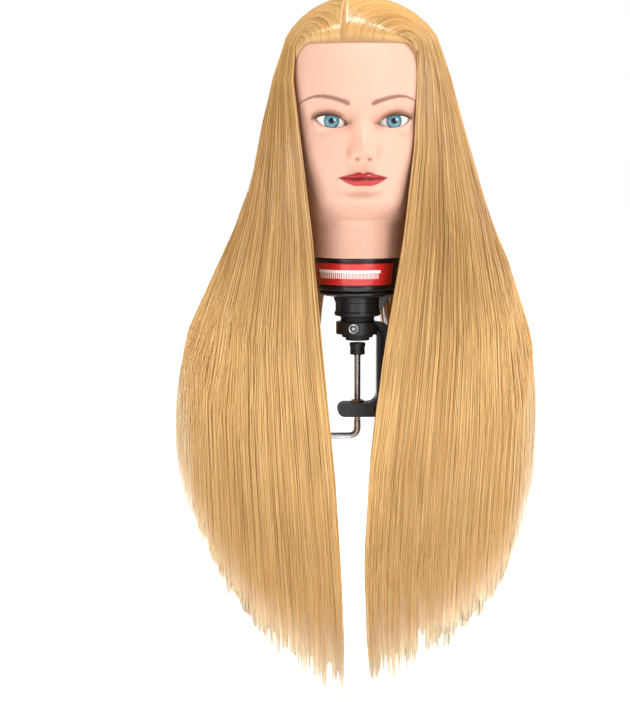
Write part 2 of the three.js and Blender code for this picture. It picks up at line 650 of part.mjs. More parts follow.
// One side's section at a height: outside from front to back, then inside from back to front.
function hairSection(side, height, count) {
  const [left, right, front, back] = hairTable(height);
  const edges = edgeTable(height);
  const reach = side < 0 ? left : right;
  const edge = side < 0 ? edges[0] : edges[1];
  const rear = backEdge(height, edge);
  const outside = spread(Math.asin(edge / reach), Math.PI - Math.asin(rear / reach), count).map((a) =>
    new THREE.Vector3(side * reach * Math.sin(a), -Math.cos(a) * (Math.cos(a) > 0 ? front : back), height));
  const inner = (angle) => {
    if (height > COLLAR_TOP) return headPoint(side * angle, height, HAIR_CLEARANCE);
    const open = THREE.MathUtils.smoothstep(height, HAIR_TIP + 30, HAIR_TIP + 110);
    const radius = THREE.MathUtils.lerp(8, CLEAR_RADIUS, open);
    const stretch = Math.max(radius, edge * 1.02);
    return new THREE.Vector3(side * stretch * Math.sin(angle), -radius * Math.cos(angle), height);
  };
  const startAngle = angleReaching(inner, side, edge);
  const endAngle = Math.PI - angleReaching((a) => inner(Math.PI - a), side, rear);
  const inside = spread(endAngle, startAngle, count).map(inner);
  const loop = [...outside, ...inside];
  return side < 0 ? loop.reverse() : loop;
}

// The angle at which an inner line reaches a distance from the centre plane.
function angleReaching(line, side, distance) {
  let low = 0;
  let high = Math.PI / 2;
  for (let i = 0; i < 30; i++) {
    const middle = (low + high) / 2;
    if (side * line(middle).x < distance) low = middle;
    else high = middle;
  }
  return low;
}

function crownHair() {
  const outer = smoothTable([
    [CROWN_SPLIT, 79, 87, 92, 104],
    [298, 75, 81, 86, 98],
    [310, 68, 73, 77, 88],
    [321.4, 58, 62, 63, 74],
    [330.7, 45, 48, 48, 57],
    [337.2, 27, 31, 27, 36],
    [HAIR_TOP, 6, 7, 4, 10],
  ]);
  const section = (height) => roundAngles(28, 0).map((a) => {
    const [left, right, front, back] = outer(height);
    const reach = Math.sin(a) < 0 ? left : right;
    return new THREE.Vector3(reach * Math.sin(a), -Math.cos(a) * (Math.cos(a) > 0 ? front : back), height);
  });
  const levels = [CROWN_SPLIT + GAP, 298, 310, 321.4, 330.7, 336.5, HAIR_TOP];
  const skullLevels = [CROWN_SPLIT - 2, 298, 309.5, 318, 323.5, 328.2, CROWN];
  const skull = loft(skullLevels.map((z) => roundAngles(28, 0).map((a) =>
    headPoint(a, z, HAIR_CLEARANCE).setZ(z + THREE.MathUtils.mapLinear(z, CROWN_SPLIT, CROWN, 0, 1.4)))));
  const forehead = block(112, 60, 60, 0, 0, 0).rotate([28, 0, 0]).translate([0, -104, HAIRLINE_Z]);
  return cut(loft(levels.map(section)), skull, forehead);
}

function hair() {
  piece('hair_crown', crownHair(), 'hair');
  const sideLevels = [WING_TOP + GAP, 134, 152, 172, 196, 222, 248, 268, CROWN_SPLIT - GAP];
  const wingLevels = [HAIR_TIP, -325, -285, -240, -190, -150, -90, -30, 20, 55, 88, WING_TOP - GAP];
  for (const [side, word] of [[-1, 'left'], [1, 'right']]) {
    piece(`hair_side_${word}`, loft(sideLevels.map((z) => hairSection(side, z, 11))), 'hair');
    piece(`hair_wing_${word}`, loft(wingLevels.map((z) => hairSection(side, z, 11))), 'hair');
  }
}

clamp();
screwAndPad();
swivelAndPlug();
neckBase();
mannequin();
hair();

export default head;
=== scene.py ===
import math

import bmesh
import bpy
import numpy as np
from mathutils import Matrix, Vector


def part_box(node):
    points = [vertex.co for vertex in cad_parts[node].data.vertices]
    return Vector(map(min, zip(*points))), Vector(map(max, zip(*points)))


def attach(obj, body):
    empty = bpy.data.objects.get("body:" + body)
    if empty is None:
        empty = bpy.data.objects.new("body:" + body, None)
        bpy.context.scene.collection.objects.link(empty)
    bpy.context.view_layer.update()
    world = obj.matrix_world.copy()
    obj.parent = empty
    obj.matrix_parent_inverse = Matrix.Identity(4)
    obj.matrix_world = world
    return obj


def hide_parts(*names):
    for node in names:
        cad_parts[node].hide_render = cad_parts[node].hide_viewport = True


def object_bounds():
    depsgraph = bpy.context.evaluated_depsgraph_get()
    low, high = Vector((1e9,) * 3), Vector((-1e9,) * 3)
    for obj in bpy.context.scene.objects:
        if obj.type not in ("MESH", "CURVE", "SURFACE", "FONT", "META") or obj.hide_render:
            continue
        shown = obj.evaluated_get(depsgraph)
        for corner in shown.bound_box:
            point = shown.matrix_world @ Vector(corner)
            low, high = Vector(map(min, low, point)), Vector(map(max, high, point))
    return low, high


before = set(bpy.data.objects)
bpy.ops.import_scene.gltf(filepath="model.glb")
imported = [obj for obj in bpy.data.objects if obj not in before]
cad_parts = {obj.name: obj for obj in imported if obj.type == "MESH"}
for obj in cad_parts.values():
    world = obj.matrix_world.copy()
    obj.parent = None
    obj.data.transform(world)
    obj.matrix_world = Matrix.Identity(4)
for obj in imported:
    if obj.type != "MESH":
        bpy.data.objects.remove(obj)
cad_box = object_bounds()

MM = 0.001
RNG = np.random.default_rng(11)  # the order of its draws decides where each strand lies

# Places read from the frame, in millimetres. The neck, post and screw share the Z axis.
label_low, label_high = (np.array(c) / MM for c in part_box("base_label"))
shell_low, shell_high = (np.array(c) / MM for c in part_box("head_shell"))
eye_low, eye_high = (np.array(c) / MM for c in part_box("eye_right"))
crown_low, crown_high = (np.array(c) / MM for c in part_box("hair_crown"))

HAIRLINE_Z = 291.5
CROWN = shell_high[2]
SKIN_BOTTOM = shell_low[2]
# the lid openings sit a little inwards of the middles of the CAD eyes, and a little below
EYE_PINCH, EYE_DROP = 0.985, 2.4
EYE_X = EYE_PINCH * (eye_low[0] + eye_high[0]) / 2
EYE_Z = (eye_low[2] + eye_high[2]) / 2 - EYE_DROP
EYE_FRONT = eye_low[1]
HAIR_TOP = crown_high[2]


# ---------------------------------------------------------------- mesh helpers
def build_mesh(name, points, faces):
    """A smooth mesh from points in millimetres and faces that all have as many corners."""
    mesh = bpy.data.meshes.new(name)
    faces = np.asarray(faces, dtype=np.int32)
    mesh.vertices.add(len(points))
    mesh.vertices.foreach_set("co", (np.asarray(points) * MM).astype(np.float32).ravel())
    mesh.loops.add(faces.size)
    mesh.loops.foreach_set("vertex_index", faces.ravel())
    mesh.polygons.add(len(faces))
    starts = np.arange(0, faces.size, faces.shape[1], dtype=np.int32)
    mesh.polygons.foreach_set("loop_start", starts)
    mesh.polygons.foreach_set("use_smooth", np.full(len(faces), True))
    mesh.update(calc_edges=True)
    mesh.validate()
    return mesh


def linked(name, data):
    """A new object in the scene."""
    obj = bpy.data.objects.new(name, data)
    bpy.context.scene.collection.objects.link(obj)
    return obj


def piece(name, mesh, material, body, nodes=()):
    """A visible piece with one material, on a body, in place of the CAD nodes named."""
    obj = linked(name, mesh)
    mesh.materials.clear()
    mesh.materials.append(material)
    for face in mesh.polygons:
        face.material_index = 0
    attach(obj, body)
    if nodes:
        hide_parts(*nodes)
    return obj


def set_uv(mesh, point_uv):
    """Gives each face corner its point's texture place, in the layer a bake uses as it is."""
    corners = np.empty(len(mesh.loops), dtype=np.int32)
    mesh.loops.foreach_get("vertex_index", corners)
    layer = mesh.uv_layers.new(name="OFBake")
    layer.data.foreach_set("uv", point_uv[corners].astype(np.float32).ravel())


def set_colour(mesh, name, rgb):
    """Stores a colour on each point."""
    rgba = np.concatenate([rgb, np.ones((len(rgb), 1))], axis=1)
    mesh.color_attributes.new(name, "FLOAT_COLOR", "POINT").data.foreach_set(
        "color", rgba.astype(np.float32).ravel())


def set_value(mesh, name, values):
    """Stores a number on each point."""
    layer = mesh.attributes.new(name, "FLOAT", "POINT")
    layer.data.foreach_set("value", values.astype(np.float32))


def grid_faces(rows, columns, wrap):
    """Quads of a grid of points, row by row. A wrapped grid closes on itself along its columns."""
    across = columns if wrap else columns - 1
    j, i = np.meshgrid(np.arange(rows - 1), np.arange(across), indexing="ij")
    a = j * columns + i
    b = j * columns + (i + 1) % columns
    return stacked(a, b, b + columns, a + columns).reshape(-1, 4)


def stacked(*parts):
    """Points from arrays of their coordinates, or faces from arrays of their corners."""
    return np.stack(parts, axis=-1)


def full_turn(steps):
    """Angles all the way round, in equal steps."""
    return np.linspace(0, 2 * np.pi, steps, endpoint=False)


def turned_mesh(name, profile, sides):
    """A closed profile of [radius, height] turned about Z, with points on the axis joined up."""
    profile = np.array(profile, dtype=float)
    radius, height = profile[:, :1], profile[:, 1:]
    angle = full_turn(sides)
    rings = np.stack(
        [radius * np.cos(angle), radius * np.sin(angle), np.repeat(height, sides, axis=1)], axis=-1)
    i = np.arange(sides)
    following = (i + 1) % sides
    last = (len(profile) - 1) * sides
    closing = stacked(last + i, last + following, following, i)
    faces = np.concatenate([grid_faces(len(profile), sides, True), closing])
    return cleaned(build_mesh(name, rings.reshape(-1, 3), faces))


def edited(mesh, *steps):
    """Runs steps on a mesh's faces and edges, then turns every face outwards."""
    work = bmesh.new()
    work.from_mesh(mesh)
    for step in steps:
        step(work)
    bmesh.ops.recalc_face_normals(work, faces=work.faces)
    work.to_mesh(mesh)
    work.free()
    return mesh


def without_doubles(work):
    """Joins points that meet and drops empty faces."""
    bmesh.ops.remove_doubles(work, verts=work.verts, dist=1e-6)
    bmesh.ops.dissolve_degenerate(work, edges=work.edges, dist=1e-7)


def with_caps(work):
    """Fills every opening with one face, and smooths them all."""
    bmesh.ops.holes_fill(work, edges=[e for e in work.edges if e.is_boundary], sides=0)
    for face in work.faces:
        face.smooth = True


def cleaned(mesh):
    return edited(mesh, without_doubles)


def capped(mesh):
    """Closes the round openings that a wrapped grid leaves at its two ends."""
    return edited(mesh, with_caps)


ROUND_STEPS = 4


def rounded(corners):
    """A profile of [radius, height, round] corners, each rounded off by its own amount."""
    out = []
    count = len(corners)
    for i, (x, z, size) in enumerate(corners):
        here = np.array([x, z], dtype=float)
        if size == 0:
            out.append(here)
            continue
        before = np.array(corners[i - 1][:2], dtype=float) - here
        after = np.array(corners[(i + 1) % count][:2], dtype=float) - here
        reach = min(size, 0.49 * np.linalg.norm(before), 0.49 * np.linalg.norm(after))
        start = here + before / np.linalg.norm(before) * reach
        end = here + after / np.linalg.norm(after) * reach
        for t in np.linspace(0, 1, ROUND_STEPS + 1):
            out.append((1 - t) ** 2 * start + 2 * t * (1 - t) * here + t ** 2 * end)
    return np.array(out)


def smoothstep(value, low, high):
    """Nothing below low, one above high and a smooth rise between."""
    t = unit((value - low) / (high - low))
    return t * t * (3 - 2 * t)


def between_edges(value, low, full, falling, high):
    """One from full to falling, and nothing below low or above high."""
    return smoothstep(value, low, full) * (1 - smoothstep(value, falling, high))


def unit(value):
    return np.clip(value, 0, 1)


def bump(distance, width):
    """One at no distance, falling off over a width."""
    return np.exp(-((distance / width) ** 2))


def table(rows):
    """Smooth curves through stations of [height, value, value, ...], read at many heights."""
    rows = np.array(sorted(rows), dtype=float)
    at, values = rows[:, 0], rows[:, 1:]
    slope = np.gradient(values, at, axis=0)

    def read(height):
        h = np.clip(height, at[0], at[-1])
        k = np.clip(np.searchsorted(at, h, side="right") - 1, 0, len(at) - 2)
        step = at[k + 1] - at[k]
        t = ((h - at[k]) / step)[..., None]
        step = step[..., None]
        a, b = values[k], values[k + 1]
        da, db = slope[k] * step, slope[k + 1] * step
        out = (2 * t**3 - 3 * t**2 + 1) * a + (t**3 - 2 * t**2 + t) * da
        out = out + (-2 * t**3 + 3 * t**2) * b + (t**3 - t**2) * db
        return np.moveaxis(out, -1, 0)

    return read


# ---------------------------------------------------------------- material helpers
class Nodes:
    """A material with one Principled shader, and short ways to add and link nodes."""

    def __init__(self, name, **sockets):
        self.material = bpy.data.materials.new(name)
        self.material.use_nodes = True
        self.tree = self.material.node_tree
        self.shader = self.tree.nodes["Principled BSDF"]
        for key, value in sockets.items():
            self.shader.inputs[key.replace("_", " ")].default_value = value

    def add(self, kind, inputs=None, **settings):
        node = self.tree.nodes.new(kind)
        for key, value in settings.items():
            setattr(node, key, value)
        for key, value in (inputs or {}).items():
            socket = node.inputs[key]
            if isinstance(value, bpy.types.NodeSocket):
                self.tree.links.new(value, socket)
            else:
                socket.default_value = value
        return node

    def link(self, output, name):
        self.tree.links.new(output, self.shader.inputs[name])

    def ramp(self, factor, stops):
        node = self.add("ShaderNodeValToRGB", {"Fac": factor})
        elements = node.color_ramp.elements
        while len(elements) < len(stops):
            elements.new(0.5)
        for element, (place, colour) in zip(elements, stops):
            element.position = place
            element.color = (*colour, 1)
        return node.outputs["Color"]

    def noise(self, scale, stretch=(1, 1, 1), detail=3.0, vector=None, roughness=0.5):
        if vector is None:
            vector = self.add("ShaderNodeTexCoord").outputs["Object"]
        mapped = self.add("ShaderNodeMapping", {"Vector": vector, "Scale": stretch})
        node = self.add("ShaderNodeTexNoise", {
            "Vector": mapped.outputs["Vector"], "Scale": scale, "Detail": detail,
            "Roughness": roughness})
        return node.outputs["Fac"]

    def bump(self, height, strength, distance):
        node = self.add("ShaderNodeBump", {
            "Height": height, "Strength": strength, "Distance": distance})
        self.link(node.outputs["Normal"], "Normal")

    def spread(self, factor, low, high, start=0.0, end=1.0):
        node = self.add("ShaderNodeMapRange", {
            "Value": factor, "From Min": start, "From Max": end, "To Min": low, "To Max": high})
        return node.outputs["Result"]

    def blend(self, factor, base, over, kind="MIX"):
        node = self.add("ShaderNodeMix", {"Factor": factor, "A": base, "B": over},
                        data_type="RGBA", blend_type=kind)
        return node.outputs["Result"]

    def calc(self, operation, first, second):
        return self.add("ShaderNodeMath", {0: first, 1: second}, operation=operation).outputs[0]

    def attribute(self, name, output="Fac"):
        return self.add("ShaderNodeAttribute", attribute_name=name).outputs[output]

    def texture_place(self):
        """The two parts of a point's place in the texture layer."""
        uv = self.add("ShaderNodeUVMap", uv_map="OFBake").outputs["UV"]
        split = self.add("ShaderNodeSeparateXYZ", {"Vector": uv})
        return uv, split.outputs["X"], split.outputs["Y"]


def moulded(name, colour, roughness, grain=900, depth=0.00012, wear=0.25):
    """Moulded black or coloured plastic: faint mottling, fine grain and paler rubbed patches."""
    nodes = Nodes(name, IOR=1.49)
    fine = nodes.noise(grain, detail=4.0)
    broad = nodes.noise(45, detail=4.0)
    pale = tuple(min(1.0, c * (1 + wear) + 0.012 * wear) for c in colour)
    deep = tuple(c * (1 - 0.35 * wear) for c in colour)
    nodes.link(nodes.ramp(broad, [(0.32, deep), (0.52, colour), (0.72, pale)]), "Base Color")
    nodes.link(nodes.spread(broad, roughness - 0.08, roughness + 0.12), "Roughness")
    nodes.bump(fine, 0.35, depth)
    return nodes.material


def metal(name, colour, roughness):
    """Bright metal with fine mottling and patches of more or less gloss."""
    nodes = Nodes(name, Metallic=1.0)
    lines = nodes.noise(400, detail=5.0)
    broad = nodes.noise(60, detail=3.0)
    darker = tuple(c * 0.72 for c in colour)
    nodes.link(nodes.ramp(lines, [(0.3, darker), (0.6, colour)]), "Base Color")
    nodes.link(nodes.spread(broad, roughness - 0.07, roughness + 0.13), "Roughness")
    nodes.bump(lines, 0.2, 0.00008)
    return nodes.material


# ---------------------------------------------------------------- head shape
# Stations of [height, front, back, half width, middle, squareness], as in the frame's own head.
head_table = table([
    [80, 45, 45, 45.2, 0, 2], [SKIN_BOTTOM, 45, 45, 45.2, 0, 2], [108, 45, 45, 45.2, 0, 2],
    [120, 48, 47, 46, 0, 2], [129, 66, 50, 47, 0, 2.1], [138, 81, 54, 49, 1, 2.2],
    [152, 84.5, 60, 52.5, 2, 2.3], [166, 86, 67, 56.5, 3, 2.3], [180, 86.5, 74, 61, 4, 2.3],
    [200, 87, 82, 65.5, 5, 2.3], [220, 85, 88, 68.5, 6, 2.3], [240, 88, 91, 70.5, 7, 2.25],
    [262, 88.5, 91, 71.5, 7, 2.2], [281, 84.5, 87, 69, 7, 2.15], [298, 75, 79, 62, 7, 2.1],
    [312, 61, 66, 51.5, 6, 2], [322.5, 43, 50, 38.5, 6, 2], [328.2, 25, 33, 24, 6, 2],
    [CROWN, -3, 9, 3, 6, 2],
])


def head_surface(angle, height, out=0.0):
    """The plain head, without a face, at angles from the front and heights."""
    front, back, half_width, middle, squareness = head_table(height)
    power = 2 / squareness
    sine, cosine = np.sin(angle), np.cos(angle)
    depth = np.where(cosine > 0, front + middle, back - middle) + out
    x = np.sign(sine) * np.abs(sine) ** power * (half_width + out)
    y = middle - np.sign(cosine) * np.abs(cosine) ** power * depth
    return x, y


# ---------------------------------------------------------------- face
NOSE_Z = EYE_Z - 26.6
MOUTH_Z = EYE_Z - 53.6
MOUTH_HALF = 23.2
CHIN_Z = 141.0
BALL_RADIUS = 16.5
LID_THICKNESS = 1.25
SKIN_THICKNESS, FOAM_INSET = 4.2, 4.8
BALL_CENTRE = EYE_FRONT - 1.2 + BALL_RADIUS
EYE_HALF = 15.6

nose_ridge = table([
    [NOSE_Z - 18, 0], [NOSE_Z - 12, 0.6], [NOSE_Z - 9, 3.2], [NOSE_Z - 6.5, 9.5], [NOSE_Z - 4, 15],
    [NOSE_Z - 1, 18.3], [NOSE_Z + 2, 18], [NOSE_Z + 7, 14.4], [NOSE_Z + 14, 9.6], [NOSE_Z + 22, 5],
    [NOSE_Z + 30, 1.6], [NOSE_Z + 38, 0], [NOSE_Z + 50, 0],
])


def lid_lines(x):
    """Heights of the lids' edges at a distance across the eye, from its middle outwards."""
    across = np.clip(x / EYE_HALF, -1, 1)
    tilt = 2.5 * across
    upper = EYE_Z + tilt + 5.4 * unit(1 - across**2) ** 0.72 * (1 - 0.10 * across)
    lower = EYE_Z + tilt - 5.9 * unit(1 - across**2) ** 0.85 * (1 + 0.20 * across)
    return upper, lower


def eye_place(x, z):
    """Distance across one eye from its middle, outwards, and into the lid opening."""
    across = np.abs(x) - EYE_X
    upper, lower = lid_lines(across)
    inside = np.minimum(upper - z, z - lower)
    ends = (EYE_HALF - np.abs(across)) * 0.75
    return across, np.minimum(inside, ends)


def lip_lines(x):
    """Heights of the upper lip's edge, the line between the lips and the lower lip's edge."""
    side = unit(np.abs(x) / MOUTH_HALF)
    seam = MOUTH_Z + 0.2 + 0.5 * side**3 - 0.7 * bump(np.abs(x) - 9, 6)
    bow = 5.6 * (1 - side**1.7) + 0.9 * bump(np.abs(x) - 5.5, 3.6) - 1.2 * bump(x, 2.6)
    bowl = 7.4 * unit(1 - side**2.3) ** 0.85
    return seam + bow * (side < 1), seam, seam - bowl


def lip_mask(x, z):
    """How far a point belongs to the lips, and its height above the line between them."""
    soft = 0.5
    top, seam, low = lip_lines(x)
    reach = np.minimum(top - z, z - low)
    reach = np.minimum(reach, (MOUTH_HALF - np.abs(x)) * 0.5)
    return smoothstep(reach, -soft, soft), z - seam


# Swells and hollows of each side of the face: [rise, place across, width, height, reach].
SWELLS = [
    # nose wings, the creases beside them and the nostrils
    [8.4, 10.4, 4.3, NOSE_Z - 3.6, 5.2], [-2.4, 14.8, 2.2, NOSE_Z - 2.5, 6.0],
    [-3.4, 5.8, 2.7, NOSE_Z - 8.8, 1.7],
    # brow, sockets and cheeks
    [2.6, 24, 20, EYE_Z + 20, 9], [-4.2, EYE_X, 17, EYE_Z + 3, 13],
    [-3.6, 14.5, 6.5, EYE_Z + 1, 10], [2.6, 38, 18, EYE_Z - 32, 17],
    # round the mouth, and the chin
    [3.4, 0, 25, MOUTH_Z + 3, 17], [-1.1, 0, 2.6, MOUTH_Z + 12.5, 6],
    [0.7, 4.6, 2.2, MOUTH_Z + 12, 6], [-2.6, 0, 15, MOUTH_Z - 12.5, 4.2], [4.6, 0, 17, CHIN_Z, 10],
]


def relief(x, z):
    """How far the face's features stand out of the plain head, in millimetres."""
    side = np.abs(x)
    ridge_width = np.interp(z, NOSE_Z + np.array([-8, 0, 12, 30, 45]), [9.5, 9.2, 8.2, 8.2, 11])
    out = nose_ridge(z)[0] * np.exp(-np.abs(x / ridge_width) ** 2.1)
    for rise, across, width, height, reach in SWELLS:
        out = out + rise * bump(side - across, width) * bump(z - height, reach)
    # full lips, the line between them and the corners of the mouth
    top, seam, low = lip_lines(x)
    full = unit(1 - (side / MOUTH_HALF) ** 2)
    upper = np.exp(-np.abs((z - (top + seam) / 2) / 3.6) ** 2.4) * (z > seam - 3)
    out = out + 2.7 * full**0.7 * upper
    out = out + 3.7 * full**0.6 * np.exp(-np.abs((z - (low + seam) / 2) / 4.4) ** 2.4)
    along = unit(1 - (side / (MOUTH_HALF + 2)) ** 4)
    out = out - 2.9 * along * bump(z - seam, 1.15)
    return out - 1.2 * bump(side - MOUTH_HALF - 1, 3.0) * bump(z - seam, 3.2)


def lids(x, y, z):
    """The surface with lids laid over the eyeballs and the openings sunk behind them."""
    across, opening = eye_place(x, z)
    dome = BALL_RADIUS + LID_THICKNESS
    level = np.clip(dome**2 - (across * 0.93) ** 2 - (z - EYE_Z) ** 2, 0, None)
    lid = BALL_CENTRE - np.sqrt(level)
    near = smoothstep(level, 0, 60)
    lid = np.where(level > 0, lid, y + 5)
    # a soft union of the face and the lid's dome
    k = 2.6
    mix = unit(0.5 + 0.5 * (y - lid) / k)
    union = y * (1 - mix) + lid * mix - k * mix * (1 - mix)
    y = y * (1 - near) + union * near
    upper, lower = lid_lines(across)
    within = unit(1 - (np.abs(across) / (EYE_HALF + 4)) ** 2)
    crease = upper + 4.3 - 0.8 * (across / EYE_HALF) ** 2
    y = y + 1.25 * within * bump(z - crease, 0.95)
    y = y - 0.55 * within * bump(z - crease - 2.2, 1.5)
    y = y - 0.5 * within * bump(z - upper - 0.7, 0.8) - 0.45 * within * bump(z - lower + 0.7, 0.9)
    ball = BALL_CENTRE - np.sqrt(np.clip(BALL_RADIUS**2 - across**2 - (z - EYE_Z) ** 2, 0, None))
    sink = smoothstep(opening, -0.15, 0.75)
    return y * (1 - sink) + np.maximum(y + 6, ball + 3.5) * sink


def snapped(x, z):
    """Moves points of the face's grid that lie close to the lid opening's edge onto that edge."""
    for _ in range(3):
        _, here = eye_place(x, z)
        step = 0.05
        gx = (eye_place(x + step, z)[1] - here) / step
        gz = (eye_place(x, z + step)[1] - here) / step
        size = np.maximum(gx**2 + gz**2, 0.25)
        near = np.abs(here) < 0.36
        x = np.where(near, x - here * gx / size * 0.8, x)
        z = np.where(near, z - here * gz / size * 0.8, z)
    return x, z


# The brows: height and half thickness at distances from the middle between them.
brow_line = table([
    [10.5, 233.2], [13, 234.2], [20, 236.8], [30, 239.6], [40, 240.6], [48, 239.0], [57, 234.0],
    [60, 231.8]])
brow_weight = table([
    [10, 1.6], [12.5, 3.0], [20, 3.0], [30, 2.6], [40, 2.1], [48, 1.6], [57, 0.9], [60, 0.3]])
BROW_MIDDLE = -2.4

SKIN = (0.660, 0.388, 0.290)
# blush make-up, also laid as painted shade at the face's sides and in the eyes' inner corners
BLUSH_AND_SHADE = (0.630, 0.310, 0.215)
SHADOW = (0.150, 0.036, 0.017)
LID_DARK = (0.060, 0.013, 0.007)
LINER = (0.030, 0.012, 0.008)
BROW = (0.130, 0.038, 0.022)
SCALP_SHADE = (0.420, 0.215, 0.075)
LIP = (0.400, 0.006, 0.012)
LIP_DARK = (0.130, 0.003, 0.006)
NOSE_SHADE = (0.560, 0.250, 0.150)
RIM = (0.780, 0.400, 0.330)


# Warmer places on the cheeks, the nose and the chin: [amount, place across, width, height, reach].
FLUSHES = [
    [0.22, 40, 15, EYE_Z - 29, 15], [0.16, 0, 12, NOSE_Z - 4, 8], [0.14, 0, 20, CHIN_Z, 12]]


def face_paint(x, y, z):
    """Painted colour, painted shade and gloss of the skin at each point."""
    front = smoothstep(-y, 15, 45)
    side = np.abs(x)
    rgb = np.tile(np.array(SKIN), (len(x), 1))

    def lay(colour, amount):
        rgb[:] = rgb * (1 - amount[:, None]) + np.array(colour) * amount[:, None]

    slow_x = np.sin(x * 0.21 + 1.7 * np.sin(z * 0.13))
    slow_z = np.sin(z * 0.17 + 1.3 * np.sin(x * 0.11))
    lay(BLUSH_AND_SHADE, 0.05 * (0.5 + 0.5 * slow_x * slow_z))
    for amount, place, width, height, reach in FLUSHES:
        lay(BLUSH_AND_SHADE, amount * front * bump(side - place, width) * bump(z - height, reach))
    # painted shade: the sides of the face darken towards the hair, where the face turns from the
    # light
    lay(BLUSH_AND_SHADE, 0.30 * smoothstep(side, 50, 68) * front)
    # eyes: eye shadow make-up on the lid, a line along its edge and a pale rim below; painted shade
    # in the inner corners and inside the openings
    across, opening = eye_place(x, z)
    upper, lower = lid_lines(across)
    within = smoothstep(EYE_HALF + 5 - np.abs(across), 0, 6) * front
    above = z - upper
    shade = between_edges(above, -0.8, 0.4, 2.2, 8.0) * within
    outward = smoothstep(across, -18, 10)
    lay(SHADOW, 0.96 * shade * (0.75 + 0.25 * outward))
    deep = between_edges(above, -0.8, 0.4, 1.8, 5.2) * within
    lay(LID_DARK, 0.9 * deep * (0.5 + 0.5 * outward))
    glow = bump(above - 5, 6.5) * within
    lay(BLUSH_AND_SHADE, 0.45 * glow)
    # painted shade in the socket between each eye's inner corner and the nose
    corner = bump(across + EYE_HALF - 1, 5.0) * bump(z - EYE_Z, 7) * front
    lay(BLUSH_AND_SHADE, 0.5 * corner)
    liner = between_edges(above, -1.2, -0.1, 1.0, 2.3) * within
    lay(LINER, 0.92 * liner * (0.55 + 0.45 * outward) * (opening < 0.4))
    below = lower - z
    under = between_edges(below, -0.9, 0.1, 0.7, 2.2) * within
    lay(RIM, 0.55 * under)
    lay(SHADOW, 0.65 * under * smoothstep(across, 2, 14))
    # painted shade: the skin sunk behind the eyes, inside the lid openings, is coloured dark
    lay((0.10, 0.03, 0.02), 0.85 * smoothstep(opening, 0.35, 0.9) * front)
    # brows, laid down as short slanted strokes
    along = np.abs(x - BROW_MIDDLE)
    middle = brow_line(along)[0]
    thick = brow_weight(along)[0]
    reach = np.abs(z - middle) / np.maximum(thick, 0.05)
    stroke = 0.5 + 0.5 * np.sin((along - (z - middle) * 0.9) * 2.6 + 1.6 * np.sin(along * 0.9))
    edge = 1 - smoothstep(reach + 0.32 * stroke, 0.55, 1.25)
    on = (along > 10) * (along < 60) * front
    lay(BROW, on * edge * (0.62 + 0.34 * stroke))
    # lips
    lip, from_seam = lip_mask(x, z)
    lip = lip * front
    lay(LIP, lip)
    # painted shade in the crease between the lips
    lay(LIP_DARK, lip * bump(from_seam, 1.1) * 0.9)
    lines = 0.5 + 0.5 * np.sin(x * 3.1 + 0.8 * np.sin(x * 0.9))
    lay(LIP_DARK, lip * 0.16 * lines)
    # painted shade in the nostril pits
    nostril = bump(side - 5.8, 2.3) * bump(z - (NOSE_Z - 9.0), 1.5) * front
    lay((0.34, 0.12, 0.075), 0.7 * nostril)
    crease = bump(side - 14.6, 1.9) * bump(z - (NOSE_Z - 3), 6)
    crease = crease + 0.6 * bump(x + 11, 4) * bump(z - (NOSE_Z + 12), 16)
    lay(NOSE_SHADE, 0.45 * unit(crease) * front)
    # the skin under the hair is painted a deep hair brown: painted shade between the strands, where
    # no skin shows
    scalp = smoothstep(z - hairline(x), 0.5, 2.5)
    scalp = np.maximum(scalp, smoothstep(y, -30, -15) * smoothstep(z, 135, 160))
    lay(SCALP_SHADE, scalp)
    return rgb, np.maximum(lip, 0.4 * between_edges(above, -0.6, 0.4, 2, 4) * within)


def hairline(x):
    """Height of the front hairline: level over the forehead and rounded down at the temples."""
    left = np.clip((-x - 48) / 15, 0, 1.2) ** 2.2 * 17
    right = np.clip((x - 40) / 14, 0, 1.2) ** 2.2 * 20
    return HAIRLINE_Z - np.where(x < 0, left, right)


def crowded(low, high, count, centre, width, strength):
    """Places from low to high, closer together near a centre."""
    fine = np.linspace(low, high, 4000)
    weight = 1 + strength * np.exp(-((np.abs(fine - centre) / width) ** 4))
    total = np.concatenate([[0], np.cumsum((weight[1:] + weight[:-1]) / 2)])
    return np.interp(np.linspace(0, total[-1], count), total, fine)


def inner_wall(angle, height, thickness):
    """The inside of the skin, which lies deeper behind the face and deepest behind the eyes."""
    x, y = head_surface(angle, height, out=-thickness)
    front = unit(-y / 80)
    return x, y + front * (4.8 * smoothstep(height, 118, 140) + 13 * bump(height - EYE_Z, 19))


def foam_piece(material):
    """The cast filling of the head, with a hollow from below for the socket tube."""
    columns = 120
    angle = np.linspace(-np.pi, np.pi, columns, endpoint=False)
    hollow = [(17.0, 139.0), (17.0, 102.0)]
    rings = [stacked(r * np.sin(angle), -r * np.cos(angle), np.full(columns, z)) for r, z in hollow]
    for z in (102.0, 112, 125, 138, 152, 170, 190, 206, 216, 226, 236, 250, 270, 290, 306, 316):
        x, y = inner_wall(angle, np.full(columns, z), FOAM_INSET)
        rings.append(stacked(x, y, np.full(columns, z)))
    mesh = build_mesh("foam_filling", np.concatenate(rings), grid_faces(len(rings), columns, True))
    capped(mesh)
    piece("foam_filling", mesh, material, "head", ["foam_core"])


